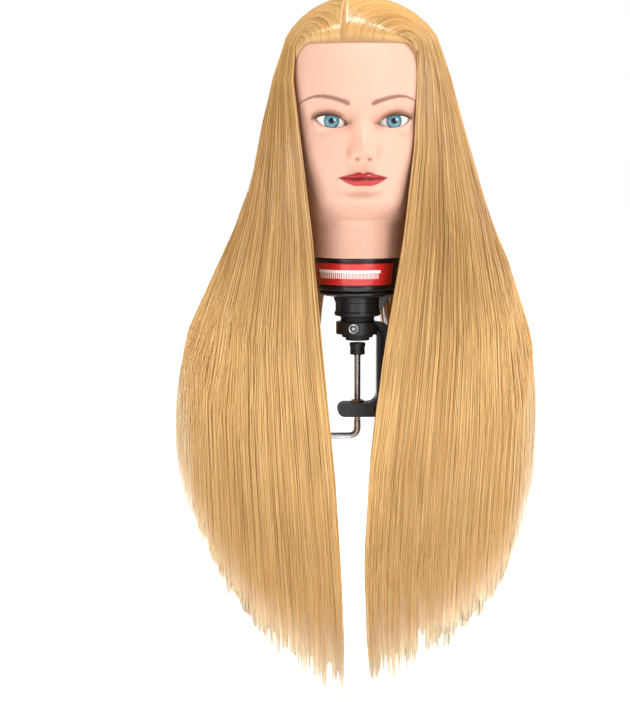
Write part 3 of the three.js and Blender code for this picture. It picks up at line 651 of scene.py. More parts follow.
def skin_piece():
    """Skin of head and neck: the face outside, a plain wall inside, closed at the two ends."""
    columns = 250
    angle = crowded(-np.pi, np.pi, columns + 1, 0.0, 1.1, 5.0)[:-1]
    face_rows = crowded(SKIN_BOTTOM, CROWN, 300, (EYE_Z + MOUTH_Z) / 2 + 2, 60, 1.8)
    height, around = np.meshgrid(face_rows, angle, indexing="ij")
    x, y = head_surface(around, height)
    z = height.copy()
    facing = smoothstep(-y, 8, 30)
    # the eye grid follows the lids' edge
    sx, sz = snapped(x, z)
    in_front = (y < -30) & (np.abs(z - EYE_Z) < 14)
    x = np.where(in_front, sx, x)
    z = np.where(in_front, sz, z)
    y = y - relief(x, z) * facing
    y = np.where(in_front, lids(x, y, z), y)
    inside_rows = np.array([296.0, 270, 250, 236, 226, 216, 206, 190, 150, 125, 105, SKIN_BOTTOM])
    inner_height, inner_around = np.meshgrid(inside_rows, angle, indexing="ij")
    ix, iy = inner_wall(inner_around, inner_height, SKIN_THICKNESS)
    outer = stacked(x, y, z).reshape(-1, 3)
    inner = stacked(ix, iy, inner_height).reshape(-1, 3)
    points = np.concatenate([inner, outer])
    rows = len(inside_rows) + len(face_rows)
    faces = grid_faces(rows, columns, True)
    mesh = build_mesh("skin", points, faces)
    n_inner = len(inner)
    rgb, lip = face_paint(points[:, 0], points[:, 1], points[:, 2])
    rgb[:n_inner] = SKIN
    lip[:n_inner] = 0
    set_colour(mesh, "paint", rgb)
    set_value(mesh, "lip", lip)
    u = np.tile(np.arange(columns) / (columns - 1), rows)
    v = np.repeat(np.arange(rows) / (rows - 1), columns)
    set_uv(mesh, stacked(0.002 + 0.996 * u, 0.002 + 0.996 * v))
    capped(mesh)
    return piece("head_skin", mesh, skin_material(), "head", ["head_shell"])


def skin_material():
    """Painted vinyl: the points' own colours, a little warm mottling, and gloss on the lips."""
    nodes = Nodes(
        "soft_skin", Subsurface_Weight=0.06, Subsurface_Scale=0.005, Specular_IOR_Level=0.3)
    nodes.shader.inputs["Subsurface Radius"].default_value = (1.0, 0.35, 0.2)
    nodes.shader.inputs["Coat Roughness"].default_value = 0.16
    paint = nodes.add("ShaderNodeVertexColor", layer_name="paint").outputs["Color"]
    lip = nodes.attribute("lip")
    broad = nodes.noise(22)
    warm = nodes.blend(nodes.spread(broad, 0.0, 0.10), paint, (0.72, 0.42, 0.29, 1))
    nodes.link(warm, "Base Color")
    # a mix of plain values: factor, skin's roughness, lips' roughness
    rough = nodes.add("ShaderNodeMix", {0: lip, 2: nodes.spread(broad, 0.42, 0.56), 3: 0.3})
    nodes.link(rough.outputs[0], "Roughness")
    nodes.link(nodes.spread(lip, 0.0, 0.3), "Coat Weight")
    nodes.bump(nodes.noise(700), 0.10, 0.0002)
    return nodes.material


# ---------------------------------------------------------------- eyes and lashes
def eye_material():
    """A white with a blue iris: rings of colour by distance from the middle, and pale fibres."""
    nodes = Nodes(
        "glass_eye", Roughness=0.35, Coat_Weight=1.0, Coat_Roughness=0.02, Specular_IOR_Level=0.1)
    radius = nodes.attribute("ring")
    fibres = nodes.noise(9.0, vector=nodes.attribute("turn", "Vector"), detail=4.0)
    ring = nodes.ramp(radius, [
        (0.0, (0.002, 0.002, 0.002)), (0.15, (0.002, 0.002, 0.003)), (0.175, (0.06, 0.13, 0.18)),
        (0.27, (0.05, 0.19, 0.27)), (0.36, (0.025, 0.13, 0.17)), (0.42, (0.006, 0.03, 0.04)),
        (0.445, (0.25, 0.27, 0.29)), (0.48, (0.86, 0.85, 0.83)), (0.93, (0.86, 0.83, 0.81)),
        (1.0, (0.75, 0.60, 0.56))])
    iris = nodes.calc("MULTIPLY", nodes.calc("GREATER_THAN", radius, 0.17),
                     nodes.calc("LESS_THAN", radius, 0.40))
    streak = nodes.calc("MULTIPLY", iris, nodes.spread(fibres, -0.35, 1.0))
    streak.node.use_clamp = True
    nodes.link(nodes.blend(streak, ring, (0.16, 0.34, 0.42, 1)), "Base Color")
    return nodes.material


def eye_piece(side, word, material):
    """A domed eye cap behind the lids, with its iris painted on the dome."""
    rings, sectors = 72, 96
    reach = math.asin(0.995)
    bend = np.linspace(0, 1, rings) ** 0.9 * reach
    turn = full_turn(sectors)
    b, t = np.meshgrid(bend, turn, indexing="ij")
    cornea = 0.75 * np.exp(-(b / 0.42) ** 4)
    radius = BALL_RADIUS + cornea
    x = side * EYE_X + radius * np.sin(b) * np.cos(t)
    z = EYE_Z + 0.5 + radius * np.sin(b) * np.sin(t)
    y = BALL_CENTRE - radius * np.cos(b)
    dome = stacked(x, y, z).reshape(-1, 3)
    back = stacked(
        side * EYE_X + 0.5 * BALL_RADIUS * np.cos(turn), np.full(sectors, BALL_CENTRE + 2.0),
        EYE_Z + 0.5 * BALL_RADIUS * np.sin(turn))
    points = np.concatenate([dome, back])
    mesh = build_mesh(f"eyeball_{word}", points, grid_faces(rings + 1, sectors, True))
    ring = np.concatenate([(np.sin(b)).ravel(), np.ones(sectors)])
    set_value(mesh, "ring", ring)
    spin = np.concatenate([t.ravel(), turn])
    vector = stacked(np.cos(spin) * 1.6, np.sin(spin) * 1.6, ring * 0.35)
    mesh.attributes.new("turn", "FLOAT_VECTOR", "POINT").data.foreach_set(
        "vector", vector.astype(np.float32).ravel())
    flat = 0.5 + 0.49 * ring[:, None] * stacked(np.cos(spin), np.sin(spin))
    set_uv(mesh, flat)
    capped(mesh)
    return piece(f"eyeball_{word}", mesh, material, "head", [f"eye_{word}"])


def strands_mesh(name, path, width, thick, flat_side):
    """Closed three-sided tapering strands along paths of shape (strand, point, 3).

    Gives the mesh and its number of points in each strand."""
    count, points_each = path.shape[:2]
    tangent = np.gradient(path, axis=1)
    tangent /= np.linalg.norm(tangent, axis=-1, keepdims=True) + 1e-9
    across = np.cross(tangent, flat_side)
    across /= np.linalg.norm(across, axis=-1, keepdims=True) + 1e-9
    up = np.cross(across, tangent)
    rings = []
    for k in range(3):
        angle = math.pi / 2 + k * 2 * math.pi / 3
        line = path + across * (math.cos(angle) * width[..., None])
        rings.append(line + up * (math.sin(angle) * thick[..., None]))
    ring = np.stack(rings, axis=2)[:, :-1].reshape(count, -1, 3)
    points = np.concatenate([ring, path[:, -1:]], axis=1)
    each = points.shape[1]
    faces = []
    for j in range(points_each - 2):
        for k in range(3):
            a, b = 3 * j + k, 3 * j + (k + 1) % 3
            faces += [[a, b, b + 3], [a, b + 3, a + 3]]
    last = 3 * (points_each - 2)
    faces += [[last + k, last + (k + 1) % 3, each - 1] for k in range(3)]
    faces.append([0, 2, 1])
    faces = (np.array(faces)[None] + (np.arange(count) * each)[:, None, None]).reshape(-1, 3)
    return build_mesh(name, points.reshape(-1, 3), faces), each


def lash_piece(side, word, material):
    """Upper and lower lashes as fine curved hairs rooted along the lids' edges."""
    paths, widths = [], []
    for upper, count, length in [(True, 64, 6.4), (False, 26, 2.6)]:
        across = np.linspace(-0.90, 0.99, count) * EYE_HALF + RNG.uniform(-0.15, 0.15, count)
        if not upper:
            across = across[across > 0.1 * EYE_HALF]
        lines = lid_lines(across)
        z = lines[0] + 0.25 if upper else lines[1] - 0.35
        level = (BALL_RADIUS + 1.3) ** 2 - (across * 0.93) ** 2 - (z - EYE_Z) ** 2
        y = BALL_CENTRE - np.sqrt(np.clip(level, 1, None)) - 0.1
        t = np.linspace(0, 1, 7)[None, :]
        fan = (across / EYE_HALF)[:, None] * 0.45 + 0.10
        grown = length * (0.72 + 0.38 * smoothstep(across, -8, 14))
        long = (grown * RNG.uniform(0.82, 1.1, len(across)))[:, None]
        rise = (0.15 * t + 0.55 * t**2) if upper else (-0.35 * t - 0.25 * t**2)
        out = 0.85 * t - 0.30 * t**2
        px = side * (EYE_X + across[:, None] + fan * long * t)
        py = y[:, None] - long * out
        pz = z[:, None] + long * rise
        paths.append(stacked(px, py, pz))
        thin = np.repeat(0.16 * (1 - 0.8 * t), len(across), axis=0)
        widths.append(thin * (1.0 if upper else 0.7))
    path = np.concatenate(paths)
    width = np.concatenate(widths)
    flat_side = np.broadcast_to(np.array([side * 1.0, 0.1, 0.0]), path.shape)
    mesh, _ = strands_mesh(f"lashes_{word}", path, width, width, flat_side)
    return piece(f"lashes_{word}", mesh, material, "head", [f"lash_{word}"])


# ---------------------------------------------------------------- hair
SPLIT_Z = crown_low[2]
PART_X = -20.0
TIP_Z = -350.0

# Stations of [height, left reach, right reach, front depth, back depth] of the hair's outside.
flow_table = table([
    [-360, 168, 162, 44, 44], [-300, 173, 167, 53, 53], [-240, 178, 172, 58, 58],
    [-150, 181, 178, 61, 62], [-60, 181, 180, 62, 65], [0, 172, 174, 64, 70],
    [50, 150, 160, 66, 78], [118, 119, 134, 68, 88], [160, 102, 118, 72, 95],
    [200, 96, 107, 76, 101], [250, 86, 94, 79, 107], [SPLIT_Z, 74.5, 82, 79, 104],
    [SPLIT_Z + 12, 70, 77, 79, 99],
])

# Stations of [height, left, right] of the hair's edge beside the face and over the gap below it.
edge_table = table([
    [-360, 15, 12], [-300, 15, 7], [-220, 19.5, 4], [-130, 26, 8.5], [-60, 33.5, 16],
    [0, 39.5, 24.5], [50, 46, 33], [118, 50, 44], [165, 57, 49], [200, 60, 52], [240, 65, 54],
    [270, 66, 54], [SPLIT_Z, 64, 53],
])

# How low the ends hang at a distance from the middle, on the left and on the right.
cut_left = table([
    [0, -352], [20, -348], [64, -322], [113, -280], [149, -218], [170, -160], [185, -80]])
cut_right = table([
    [0, -336], [20, -333], [71, -308], [124, -270], [160, -214], [172, -150], [185, -80]])
FRONT_SHARE = 0.17


def hair_angles(side, height, inset):
    """Angles from the front at which one side's hair begins and ends at a height."""
    left, right, _, _ = flow_table(height)
    edges = edge_table(height)
    reach = (left if side < 0 else right) - inset
    edge = (edges[0] if side < 0 else edges[1]) + 0.25 * inset
    below = edge + (9.0 if side > 0 else 0.0)
    rear = below + (0.4 - below) * smoothstep(height, 60, 130)
    first = np.arcsin(np.clip(edge / reach, -1, 1))
    last = np.pi - np.arcsin(np.clip(rear / reach, -1, 1))
    return first, last, reach


def hair_section(side, share, height, inset):
    """A point of one side's hair at a share of the way round from the front to the back edge."""
    first, last, reach = hair_angles(side, height, inset)
    angle = first + (last - first) * share
    _, _, front, back = flow_table(height)
    depth = np.where(np.cos(angle) > 0, front, back) - inset
    return side * reach * np.sin(angle), -depth * np.cos(angle)


def forehead_y(x, height):
    """The plain head's front surface at a place across it."""
    front, _, half_width, middle, squareness = head_table(height)
    level = unit(1 - unit(np.abs(x) / half_width) ** squareness) ** (1 / squareness)
    return middle - (front + middle) * level


def crown_point(side, u, v, inset):
    """A point of the hair over the crown, from u across and v towards the face in a unit disc."""
    left, right, front, back = (w[0] for w in flow_table(np.array([SPLIT_Z])))
    reach = (left if side < 0 else right) - inset
    full = front + 6 * unit(1 - (u / 0.73) ** 2)
    depth = np.where(v > 0, full, back) - inset
    level = unit(1 - u**2 - v**2)
    return reach * u, -depth * v, SPLIT_Z + (HAIR_TOP - inset - SPLIT_Z) * level**0.62


DOME_STEPS = np.array([0.0, 0.07, 0.18, 0.32, 0.47, 0.62, 0.76, 0.88, 0.96])
FALL_STEPS = np.array([0.0, 0.05, 0.15, 0.30, 0.48, 0.66, 0.82, 0.93, 1.0])


def hair_paths(side, share, inset, end_height, dome_steps=DOME_STEPS, fall_steps=FALL_STEPS):
    """Strand paths from their roots over the crown and down to their ends: (strand, point, 3)."""
    share = share[:, None]
    inset = inset[:, None]
    along = unit(share / FRONT_SHARE)
    behind = unit((share - FRONT_SHARE) / (1 - FRONT_SHARE))
    left, right, _, _ = (w[0] for w in flow_table(np.array([SPLIT_Z])))
    reach = left if side < 0 else right
    corner = -63.0 if side < 0 else 54.0
    root_x = corner + (PART_X - corner) * along**0.8
    # roots lie on the hairline at the front, then back along the parting
    u0 = root_x / reach * (1 - 0.7 * behind)
    v0 = np.sqrt(1 - (root_x / reach) ** 2) - 1.5 * behind**0.85
    first, last, _ = hair_angles(side, np.full_like(share, SPLIT_Z), inset)
    angle = first + (last - first) * share
    u2, v2 = side * np.sin(angle), np.cos(angle)
    middle_u, middle_v = (u0 + u2) / 2, (v0 + v2) / 2
    pull = 0.30 * (1 - behind) ** 3 * np.hypot(u2 - u0, v2 - v0)
    pull = pull / (np.hypot(middle_u, middle_v) + 1e-6)
    u1, v1 = middle_u * (1 - pull), middle_v * (1 - pull)
    t = dome_steps[None, :]
    u = (1 - t) ** 2 * u0 + 2 * t * (1 - t) * u1 + t**2 * u2
    v = (1 - t) ** 2 * v0 + 2 * t * (1 - t) * v1 + t**2 * v2
    px, py, pz = crown_point(side, u, v, inset)
    # the front roots come out of the skin on the hairline, the others out of the parting
    skin_z = hairline(root_x) + 0.3
    skin_y = forehead_y(root_x, skin_z) - 0.4 - 0.12 * (6 - inset)
    dx, dy, dz = (root_x - px[:, :1], skin_y - py[:, :1], skin_z - pz[:, :1])
    settle = (1 - smoothstep(t, 0.0, 0.30)) * (1 - smoothstep(behind, 0.0, 0.03))
    sunk = (1 - smoothstep(t, 0.0, 0.14)) * smoothstep(behind, 0.0, 0.03) * (0.5 - 0.04 * inset)
    px, py, pz = px + dx * settle, py + dy * settle, pz + dz * settle - sunk
    dome = stacked(px, py, pz)
    s = fall_steps[None, :]
    fall_z = SPLIT_Z + (end_height[:, None] - SPLIT_Z) * s
    fx, fy = hair_section(side, share, fall_z, inset)
    fall = stacked(fx, fy, fall_z)
    return np.concatenate([dome, fall], axis=1)


def ends_for(side, share, inset):
    """Height where each strand ends, from the cut line at its own distance from the middle."""
    x, _ = hair_section(side, share, np.full_like(share, -200.0), inset)
    cut = cut_left if side < 0 else cut_right
    return cut(np.abs(x))[0] - 9


LEVEL_START, LEVEL_END = 0.03, 0.70  # texture places of the hair's height, before the pale ends
BLONDE_TINTS = [
    (0.27, (0.42, 0.19, 0.045)), (0.42, (0.74, 0.41, 0.13)), (0.56, (0.88, 0.54, 0.20)),
    (0.74, (1.0, 0.72, 0.36))]
# painted light: the colour of the ends and the outer rim, where light shows through the thin hair
PALE_END = (1.0, 0.86, 0.62, 1)


def hair_shade(height, pale):
    """Texture place down the hair, which carries its painted shade and light: dark roots, then by
    height, then the pale ends.
    """
    drop = unit((HAIR_TOP - height) / (HAIR_TOP - TIP_Z))
    return (LEVEL_START + (LEVEL_END - LEVEL_START) * drop) * (1 - pale) + pale


def hair_material(name, darker=0.0):
    """Streaked blonde: each strand has its own tint, with painted shade at the roots and over the
    upper hair, and painted light in the pale ends.
    """
    nodes = Nodes(name, Specular_IOR_Level=0.9, Subsurface_Weight=0.08, Subsurface_Scale=0.003)
    uv, _, down = nodes.texture_place()
    streaks = nodes.noise(1.0, stretch=(150, 1.2, 1), vector=uv, detail=6.0, roughness=0.6)
    tints = nodes.ramp(streaks, [
        (place, tuple(c * (1 - darker) for c in colour)) for place, colour in BLONDE_TINTS])
    # painted shade: dark at the roots, and darker over the crown and upper sides than lower down
    depth = nodes.ramp(down, [
        (0.0, (0.42, 0.34, 0.26)), (0.03, (0.80, 0.76, 0.74)), (0.08, (0.66, 0.62, 0.58)),
        (0.28, (0.70, 0.66, 0.60)), (0.42, (0.97, 0.97, 0.97)), (0.56, (0.92, 0.89, 0.84)),
        (LEVEL_END, (0.95, 0.92, 0.84))])
    shaded = nodes.blend(1.0, tints, depth, "MULTIPLY")
    # painted light: the pale ends, where light shows through the thin hair
    pale = nodes.spread(down, 0.0, 0.95, start=LEVEL_END)
    nodes.link(nodes.blend(pale, shaded, PALE_END), "Base Color")
    nodes.link(nodes.spread(streaks, 0.18, 0.34), "Roughness")
    return nodes.material


STRANDS, QUICK_STRANDS = 3200, 1500  # on each side
LOCKS = 150
WANDER = 1.5
AT_FRONT = 0.22  # the part of the strands that is moved to the front hairline
CUT_EARLY = 0.12  # the part of the strands that ends well above the others


def hair_strands(side, word, count, material):
    """One side's loose strands, from the hairline or the parting down to their ends."""
    share = (np.arange(count) + RNG.uniform(0, 1, count)) / count
    share = np.clip(share, 0.001, 0.999)
    share = np.where(RNG.uniform(0, 1, count) < AT_FRONT, share**2 * FRONT_SHARE * 1.6, share)
    inset = np.clip(RNG.exponential(2.0, count), 0, 8)
    lock = np.floor(share * LOCKS).astype(int)
    lock_shift = RNG.normal(0, 7, LOCKS + 1)[lock]
    end = ends_for(side, share, inset) + lock_shift + RNG.exponential(13, count) - 8
    early = RNG.uniform(0, 1, count) < CUT_EARLY
    end = np.where(early, end + RNG.uniform(15, 90, count), end)
    end = np.clip(end, TIP_Z - 4, 200)
    path = hair_paths(side, share, inset, end)
    # strands wander a little, and lean together into locks near their ends
    travel = np.linspace(0, 1, path.shape[1])[None, :]
    for axis in (0, 1):
        phase = RNG.uniform(0, 2 * np.pi, (count, 1))
        pace = RNG.uniform(2.0, 5.0, (count, 1))
        wander = WANDER * np.sin(phase + pace * 2.2 * travel)
        path[:, :, axis] += wander * smoothstep(travel, 0.25, 0.8)
    gather = np.where(travel > 0.5, 0.38 * smoothstep(travel, 0.70, 1.0), 0)
    lock_share = (lock[:, None] + 0.5) / LOCKS
    lock_middle = hair_section(side, lock_share, path[:, :, 2], np.full((count, 1), 2.0))
    for axis in (0, 1):
        path[:, :, axis] += gather * (lock_middle[axis] - path[:, :, axis])
    width = RNG.uniform(0.28, 0.52, count)[:, None] * (1 - 0.86 * smoothstep(travel, 0.74, 1.0))
    flat_side = stacked(path[:, :, 0] * 0.4, path[:, :, 1], np.zeros_like(path[:, :, 0]))
    over_crown = unit((path[:, :, 2] - SPLIT_Z) / 40)
    flat_side[:, :, 2] = over_crown * 60
    flat_side /= np.linalg.norm(flat_side, axis=-1, keepdims=True)
    tint = np.round(RNG.uniform(0, 1, count) * 255) / 255
    # texture places run down each strand, and reach the pale end at the tips and the outer rim:
    # painted light showing through the thin hair there
    drop = np.abs(path[:, :, 2] - end[:, None])
    tips = unit(1 - drop / RNG.uniform(45, 100, (count, 1))) ** 0.8
    outermost = np.abs(path[:, :, 0]) / np.hypot(path[:, :, 0], 2.2 * path[:, :, 1])
    rim = outermost**8 * smoothstep(-path[:, :, 2], -60, 60) * unit(1 - inset[:, None] / 4)
    pale = unit(np.maximum(tips, 0.95 * rim))
    paleness = hair_shade(path[:, :, 2], pale)
    # painted shade at the front roots, where the strands leave the skin
    paleness[share < FRONT_SHARE, 0] = 0.012
    for part in (0, 1):
        chosen = np.arange(part, count, 2)
        name = f"hair_{word}_{part + 1}"
        wide = width[chosen]
        mesh, each = strands_mesh(name, path[chosen], wide, wide * 0.6, flat_side[chosen])
        down = paleness[chosen]
        shade = np.concatenate([np.repeat(down[:, :-1], 3, axis=1), down[:, -1:]], axis=1)
        uv = stacked(np.repeat(tint[chosen], each), shade.ravel())
        set_uv(mesh, uv)
        nodes = [f"hair_side_{word}", f"hair_wing_{word}"] if part == 0 else []
        if part == 0 and side > 0:
            nodes.append("hair_crown")
        piece(name, mesh, material, "head", nodes)


def hair_mass(side, word, material):
    """The closed sheet of hair below the loose strands, so that nothing shows through."""
    columns = 420
    share = np.linspace(0.0, 1.0, columns)
    locks = 0.6 * np.sin(share * 231 + 2 * np.sin(share * 37))
    locks = locks + 0.4 * np.sin(share * 517 + 3 * np.sin(share * 61))
    dome_steps = np.linspace(0, 0.95, 12)
    fall_steps = np.linspace(0, 1, 34)
    jag = 6 + 34 * RNG.uniform(0, 1, columns) ** 1.4 + 7 * np.sin(share * 97) * np.sin(share * 41)
    layers = []
    for base in (3.6, 9.0):
        inset = np.full(columns, base)
        ends = ends_for(side, share, inset) + jag
        sheet = hair_paths(side, share, inset, ends, dome_steps, fall_steps)
        height = sheet[:, :, 2]
        falling = smoothstep(SPLIT_Z - height, 0, 120)
        bulge = (0.9 * locks[:, None] * (0.35 + 0.65 * falling)) * (base < 5)
        radial = stacked(sheet[:, :, 0], 1.6 * sheet[:, :, 1], np.zeros_like(height))
        radial /= np.linalg.norm(radial, axis=-1, keepdims=True) + 1e-6
        rim = np.abs(radial[:, :, 0]) ** 8 * smoothstep(-height, -120, 60) * 7
        sheet = sheet + radial * (bulge - rim)[:, :, None]
        layers.append(sheet)
    outer, inner = layers
    rows = outer.shape[1]
    ring = np.concatenate([outer, inner[::-1]], axis=0)
    points = np.swapaxes(ring, 0, 1).reshape(-1, 3)
    near = np.arange(columns - 1)
    far = 2 * columns - 1 - near
    roots = stacked(near, near + 1, far - 1, far)
    tips = roots[:, ::-1] + (rows - 1) * 2 * columns
    faces = np.concatenate([grid_faces(rows, 2 * columns, True), roots, tips])
    mesh = build_mesh(f"hair_mass_{word}", points, faces)
    u = np.concatenate([share, share[::-1]])
    height = points[:, 2].reshape(rows, 2 * columns)
    # painted light: the sheet's lower end turns pale like the strands' ends
    v = hair_shade(height, unit(1 - (height - height[-1]) / 62))
    set_uv(mesh, stacked(np.tile(u, rows), v.ravel()))
    return piece(f"hair_mass_{word}", mesh, material, "head")


# ---------------------------------------------------------------- neck base and clamp
RING_RADIUS, RING_BOTTOM, RING_TOP = 21.5, 6.5, 18.5
BACK_INNER, BACK_OUTER = 19.0, 41.0
ARM_TOP, ARM_BOTTOM, ARM_END = -62.5, -76.5, -20.0
FLANGE_WIDTH, FLANGE_THICKNESS, WEB_WIDTH = 21.0, 4.0, 9.0
LOCK_X, LOCK_Z, LOCK_RADIUS = -5.0, 12.8, 5.0
HANDLE_Z, HANDLE_BEND, HANDLE_END = -96.7, 9.0, -44.0
PAD_TOP = -2.55
TRAY_BOTTOM, TRAY_TOP, TRAY_RADIUS = 44.8, 50.4, 38.5
PLUG_BOTTOM, PLUG_TOP = 76.6, 130.5


def hard_piece(name, mesh, material, body, nodes, bevel=0.0):
    """A piece with crisp but rounded edges, and flat faces that stay flat in the light."""
    obj = piece(name, mesh, material, body, nodes)
    if bevel:
        edges = obj.modifiers.new("edges", "BEVEL")
        edges.width = bevel * MM
        edges.segments = 2
        edges.limit_method = "ANGLE"
        edges.angle_limit = math.radians(35)
    obj.modifiers.new("normals", "WEIGHTED_NORMAL").keep_sharp = True
    return obj


def arc(centre_x, centre_z, radius, start, end, steps=14):
    """Points of a circle's arc in X and Z, between two angles in degrees."""
    angle = np.radians(np.linspace(start, end, steps))
    return stacked(centre_x + radius * np.cos(angle), centre_z + radius * np.sin(angle))


def outer_edge(inset):
    bend = 24.0 - inset
    x = BACK_OUTER - inset - bend
    return np.concatenate([
        [[8, RING_TOP - inset]], arc(x, RING_TOP - inset - bend, bend, 90, 0),
        arc(x, ARM_BOTTOM + inset + bend, bend, 0, -90), [[8, ARM_BOTTOM + inset]]])


def inner_edge(outset):
    return np.concatenate([
        [[8, RING_BOTTOM + outset]], arc(BACK_INNER - 3, RING_BOTTOM - 3, 3 + outset, 90, 0, 8),
        arc(BACK_INNER - 9, ARM_TOP + 9, 9 + outset, 0, -90), [[8, ARM_TOP - outset]]])


def prism(outline, low, high, axis="y"):
    """A closed straight-sided mesh on an outline, between two places along an axis."""
    outline = np.asarray(outline, dtype=float)
    count = len(outline)
    rows = []
    for place in (low, high):
        fixed = np.full(count, place)
        a, b = outline[:, 0], outline[:, 1]
        rows.append(np.stack([a, fixed, b] if axis == "y" else [a, b, fixed], axis=-1))
    mesh = bpy.data.meshes.new("prism")
    ring = np.arange(count)
    sides = [[i, (i + 1) % count, count + (i + 1) % count, count + i] for i in ring]
    points = np.concatenate(rows) * MM
    mesh.from_pydata(points.tolist(), [], sides + [list(ring[::-1]), list(ring + count)])
    return cleaned(mesh)


def round_outline(x, y, radius, count=48, start=0.0):
    angle = start + full_turn(count)
    return stacked(x + radius * np.cos(angle), y + radius * np.sin(angle))


def combined(name, base, joined, cutters):
    """One closed mesh from a base mesh, meshes joined to it and meshes cut out of it."""
    body = linked(name, base)
    helpers = []
    for operation, meshes in (("UNION", joined), ("DIFFERENCE", cutters)):
        for mesh in meshes:
            helper = linked("helper", mesh)
            helpers.append(helper)
            step = body.modifiers.new(operation, "BOOLEAN")
            step.operation = operation
            step.solver = "MANIFOLD"
            step.object = helper
    graph = bpy.context.evaluated_depsgraph_get()
    mesh = bpy.data.meshes.new_from_object(body.evaluated_get(graph))
    for obj in [body, *helpers]:
        bpy.data.objects.remove(obj)
    mesh.name = name
    for face in mesh.polygons:
        face.use_smooth = True
    return mesh


def band(edge, other):
    """A closed outline between two edges."""
    return np.concatenate([edge, other[::-1]])


def clamp_frame(material):
    """The moulded C frame: web, flanges, lower arm and swivel ring, with its bores."""
    half = FLANGE_WIDTH / 2
    web = prism(band(outer_edge(0), inner_edge(0)), -WEB_WIDTH / 2, WEB_WIDTH / 2)
    radius = (ARM_TOP - ARM_BOTTOM) / 2
    arm = np.concatenate([
        [[BACK_INNER - 3, ARM_BOTTOM], [BACK_INNER - 3, ARM_TOP]],
        arc(ARM_END + radius, ARM_TOP - radius, radius, 90, 270, 20)])
    joined = [
        prism(band(outer_edge(0), outer_edge(FLANGE_THICKNESS)), -half, half),
        prism(band(inner_edge(0), inner_edge(FLANGE_THICKNESS)), -half, half),
        prism(arm, -half, half),
        prism(round_outline(0, 0, RING_RADIUS, 96), RING_BOTTOM, RING_TOP, "z"),
    ]
    cutters = [
        prism(round_outline(0, 0, 4.35), RING_BOTTOM - 1, RING_TOP + 1, "z"),
        prism(round_outline(0, 0, 8.35), RING_BOTTOM - 1, 10.15, "z"),
        prism(round_outline(LOCK_X, LOCK_Z, LOCK_RADIUS + 0.35), -RING_RADIUS - 2, -9.45),
        prism(round_outline(0, 0, 4.0), ARM_BOTTOM - 1, ARM_TOP + 1, "z"),
        prism(round_outline(0, 0, 7.35, 6, math.pi / 2), -69.35, ARM_TOP + 1, "z"),
    ]
    mesh = combined("clamp_c_frame", web, joined, cutters)
    hard_piece("clamp_c_frame", mesh, material, "frame", ["c_frame"], bevel=0.7)


def lock_screw(material):
    """The grub screw, turned about Z and then laid along Y with its socket towards the front."""
    inner_end, far_end, near_end = 9.8, -14.0, -4.2
    corners = [(0, far_end, 0), (LOCK_RADIUS, far_end, 0.5), (LOCK_RADIUS, near_end, 0.6),
               (0, near_end, 0)]
    body = turned_mesh("lock_screw", rounded(corners), 48)
    socket = prism(round_outline(0, 0, 2.9, 6), -9.0, 0, "z")
    mesh = combined("lock_screw", body, [], [socket])
    for vertex in mesh.vertices:
        x, y, z = vertex.co
        vertex.co = (x + LOCK_X * MM, -z - (inner_end - far_end) * MM, y + LOCK_Z * MM)
    hard_piece("lock_screw", cleaned(mesh), material, "frame", ["swivel_lock_screw"])


def threaded_rod(material):
    """The clamp's screw: a thinner tip, a threaded shank and a bent handle with a round end."""
    sides, pitch, depth = 24, 2.0, 0.45
    rod, tip_radius, end_round = 3.4, 2.6, 2.2
    tip, shoulder, thread_top, thread_end = PAD_TOP - 3.65, PAD_TOP - 9.15, -15.0, -83.0
    bend_start = HANDLE_Z + HANDLE_BEND
    shank = np.concatenate([
        [tip], np.linspace(shoulder, shoulder - 0.01, 2),
        np.arange(shoulder - 0.25, bend_start, -0.25)])
    place = [(0.0, z) for z in shank]
    size = [tip_radius if z > shoulder - 0.005 else rod for z in shank]
    for t in np.linspace(0, 1, 18):
        place.append((-HANDLE_BEND * t**2, bend_start + (HANDLE_Z - bend_start) * (2 * t - t**2)))
        size.append(rod)
    for x in np.linspace(-HANDLE_BEND - 2, HANDLE_END + end_round, 8):
        place.append((x, HANDLE_Z))
        size.append(rod)
    for a in np.linspace(0, math.pi / 2, 6):
        place.append((HANDLE_END + end_round * (1 - math.sin(a)), HANDLE_Z))
        size.append(rod - end_round + end_round * math.cos(a))
    place, size = np.array(place), np.array(size)
    tangent = np.gradient(place, axis=0)
    tangent /= np.linalg.norm(tangent, axis=1, keepdims=True) + 1e-9
    angle = full_turn(sides)[None, :]
    x, z = place[:, 0:1], place[:, 1:2]
    on_thread = between_edges(-z, -thread_top, -thread_top + 2, -thread_end - 2, -thread_end)
    turn = (z / pitch + angle / (2 * np.pi)) % 1.0
    radius = size[:, None] - depth * on_thread * (1 - np.abs(2 * turn - 1)) * (x > -0.01)
    side = radius * np.cos(angle)
    points = stacked(x + side * tangent[:, 1:2], radius * np.sin(angle), z - side * tangent[:, 0:1])
    mesh = build_mesh("threaded_rod", points.reshape(-1, 3), grid_faces(len(place), sides, True))
    capped(mesh)
    hard_piece("threaded_rod", mesh, material, "screw", ["clamp_screw"])


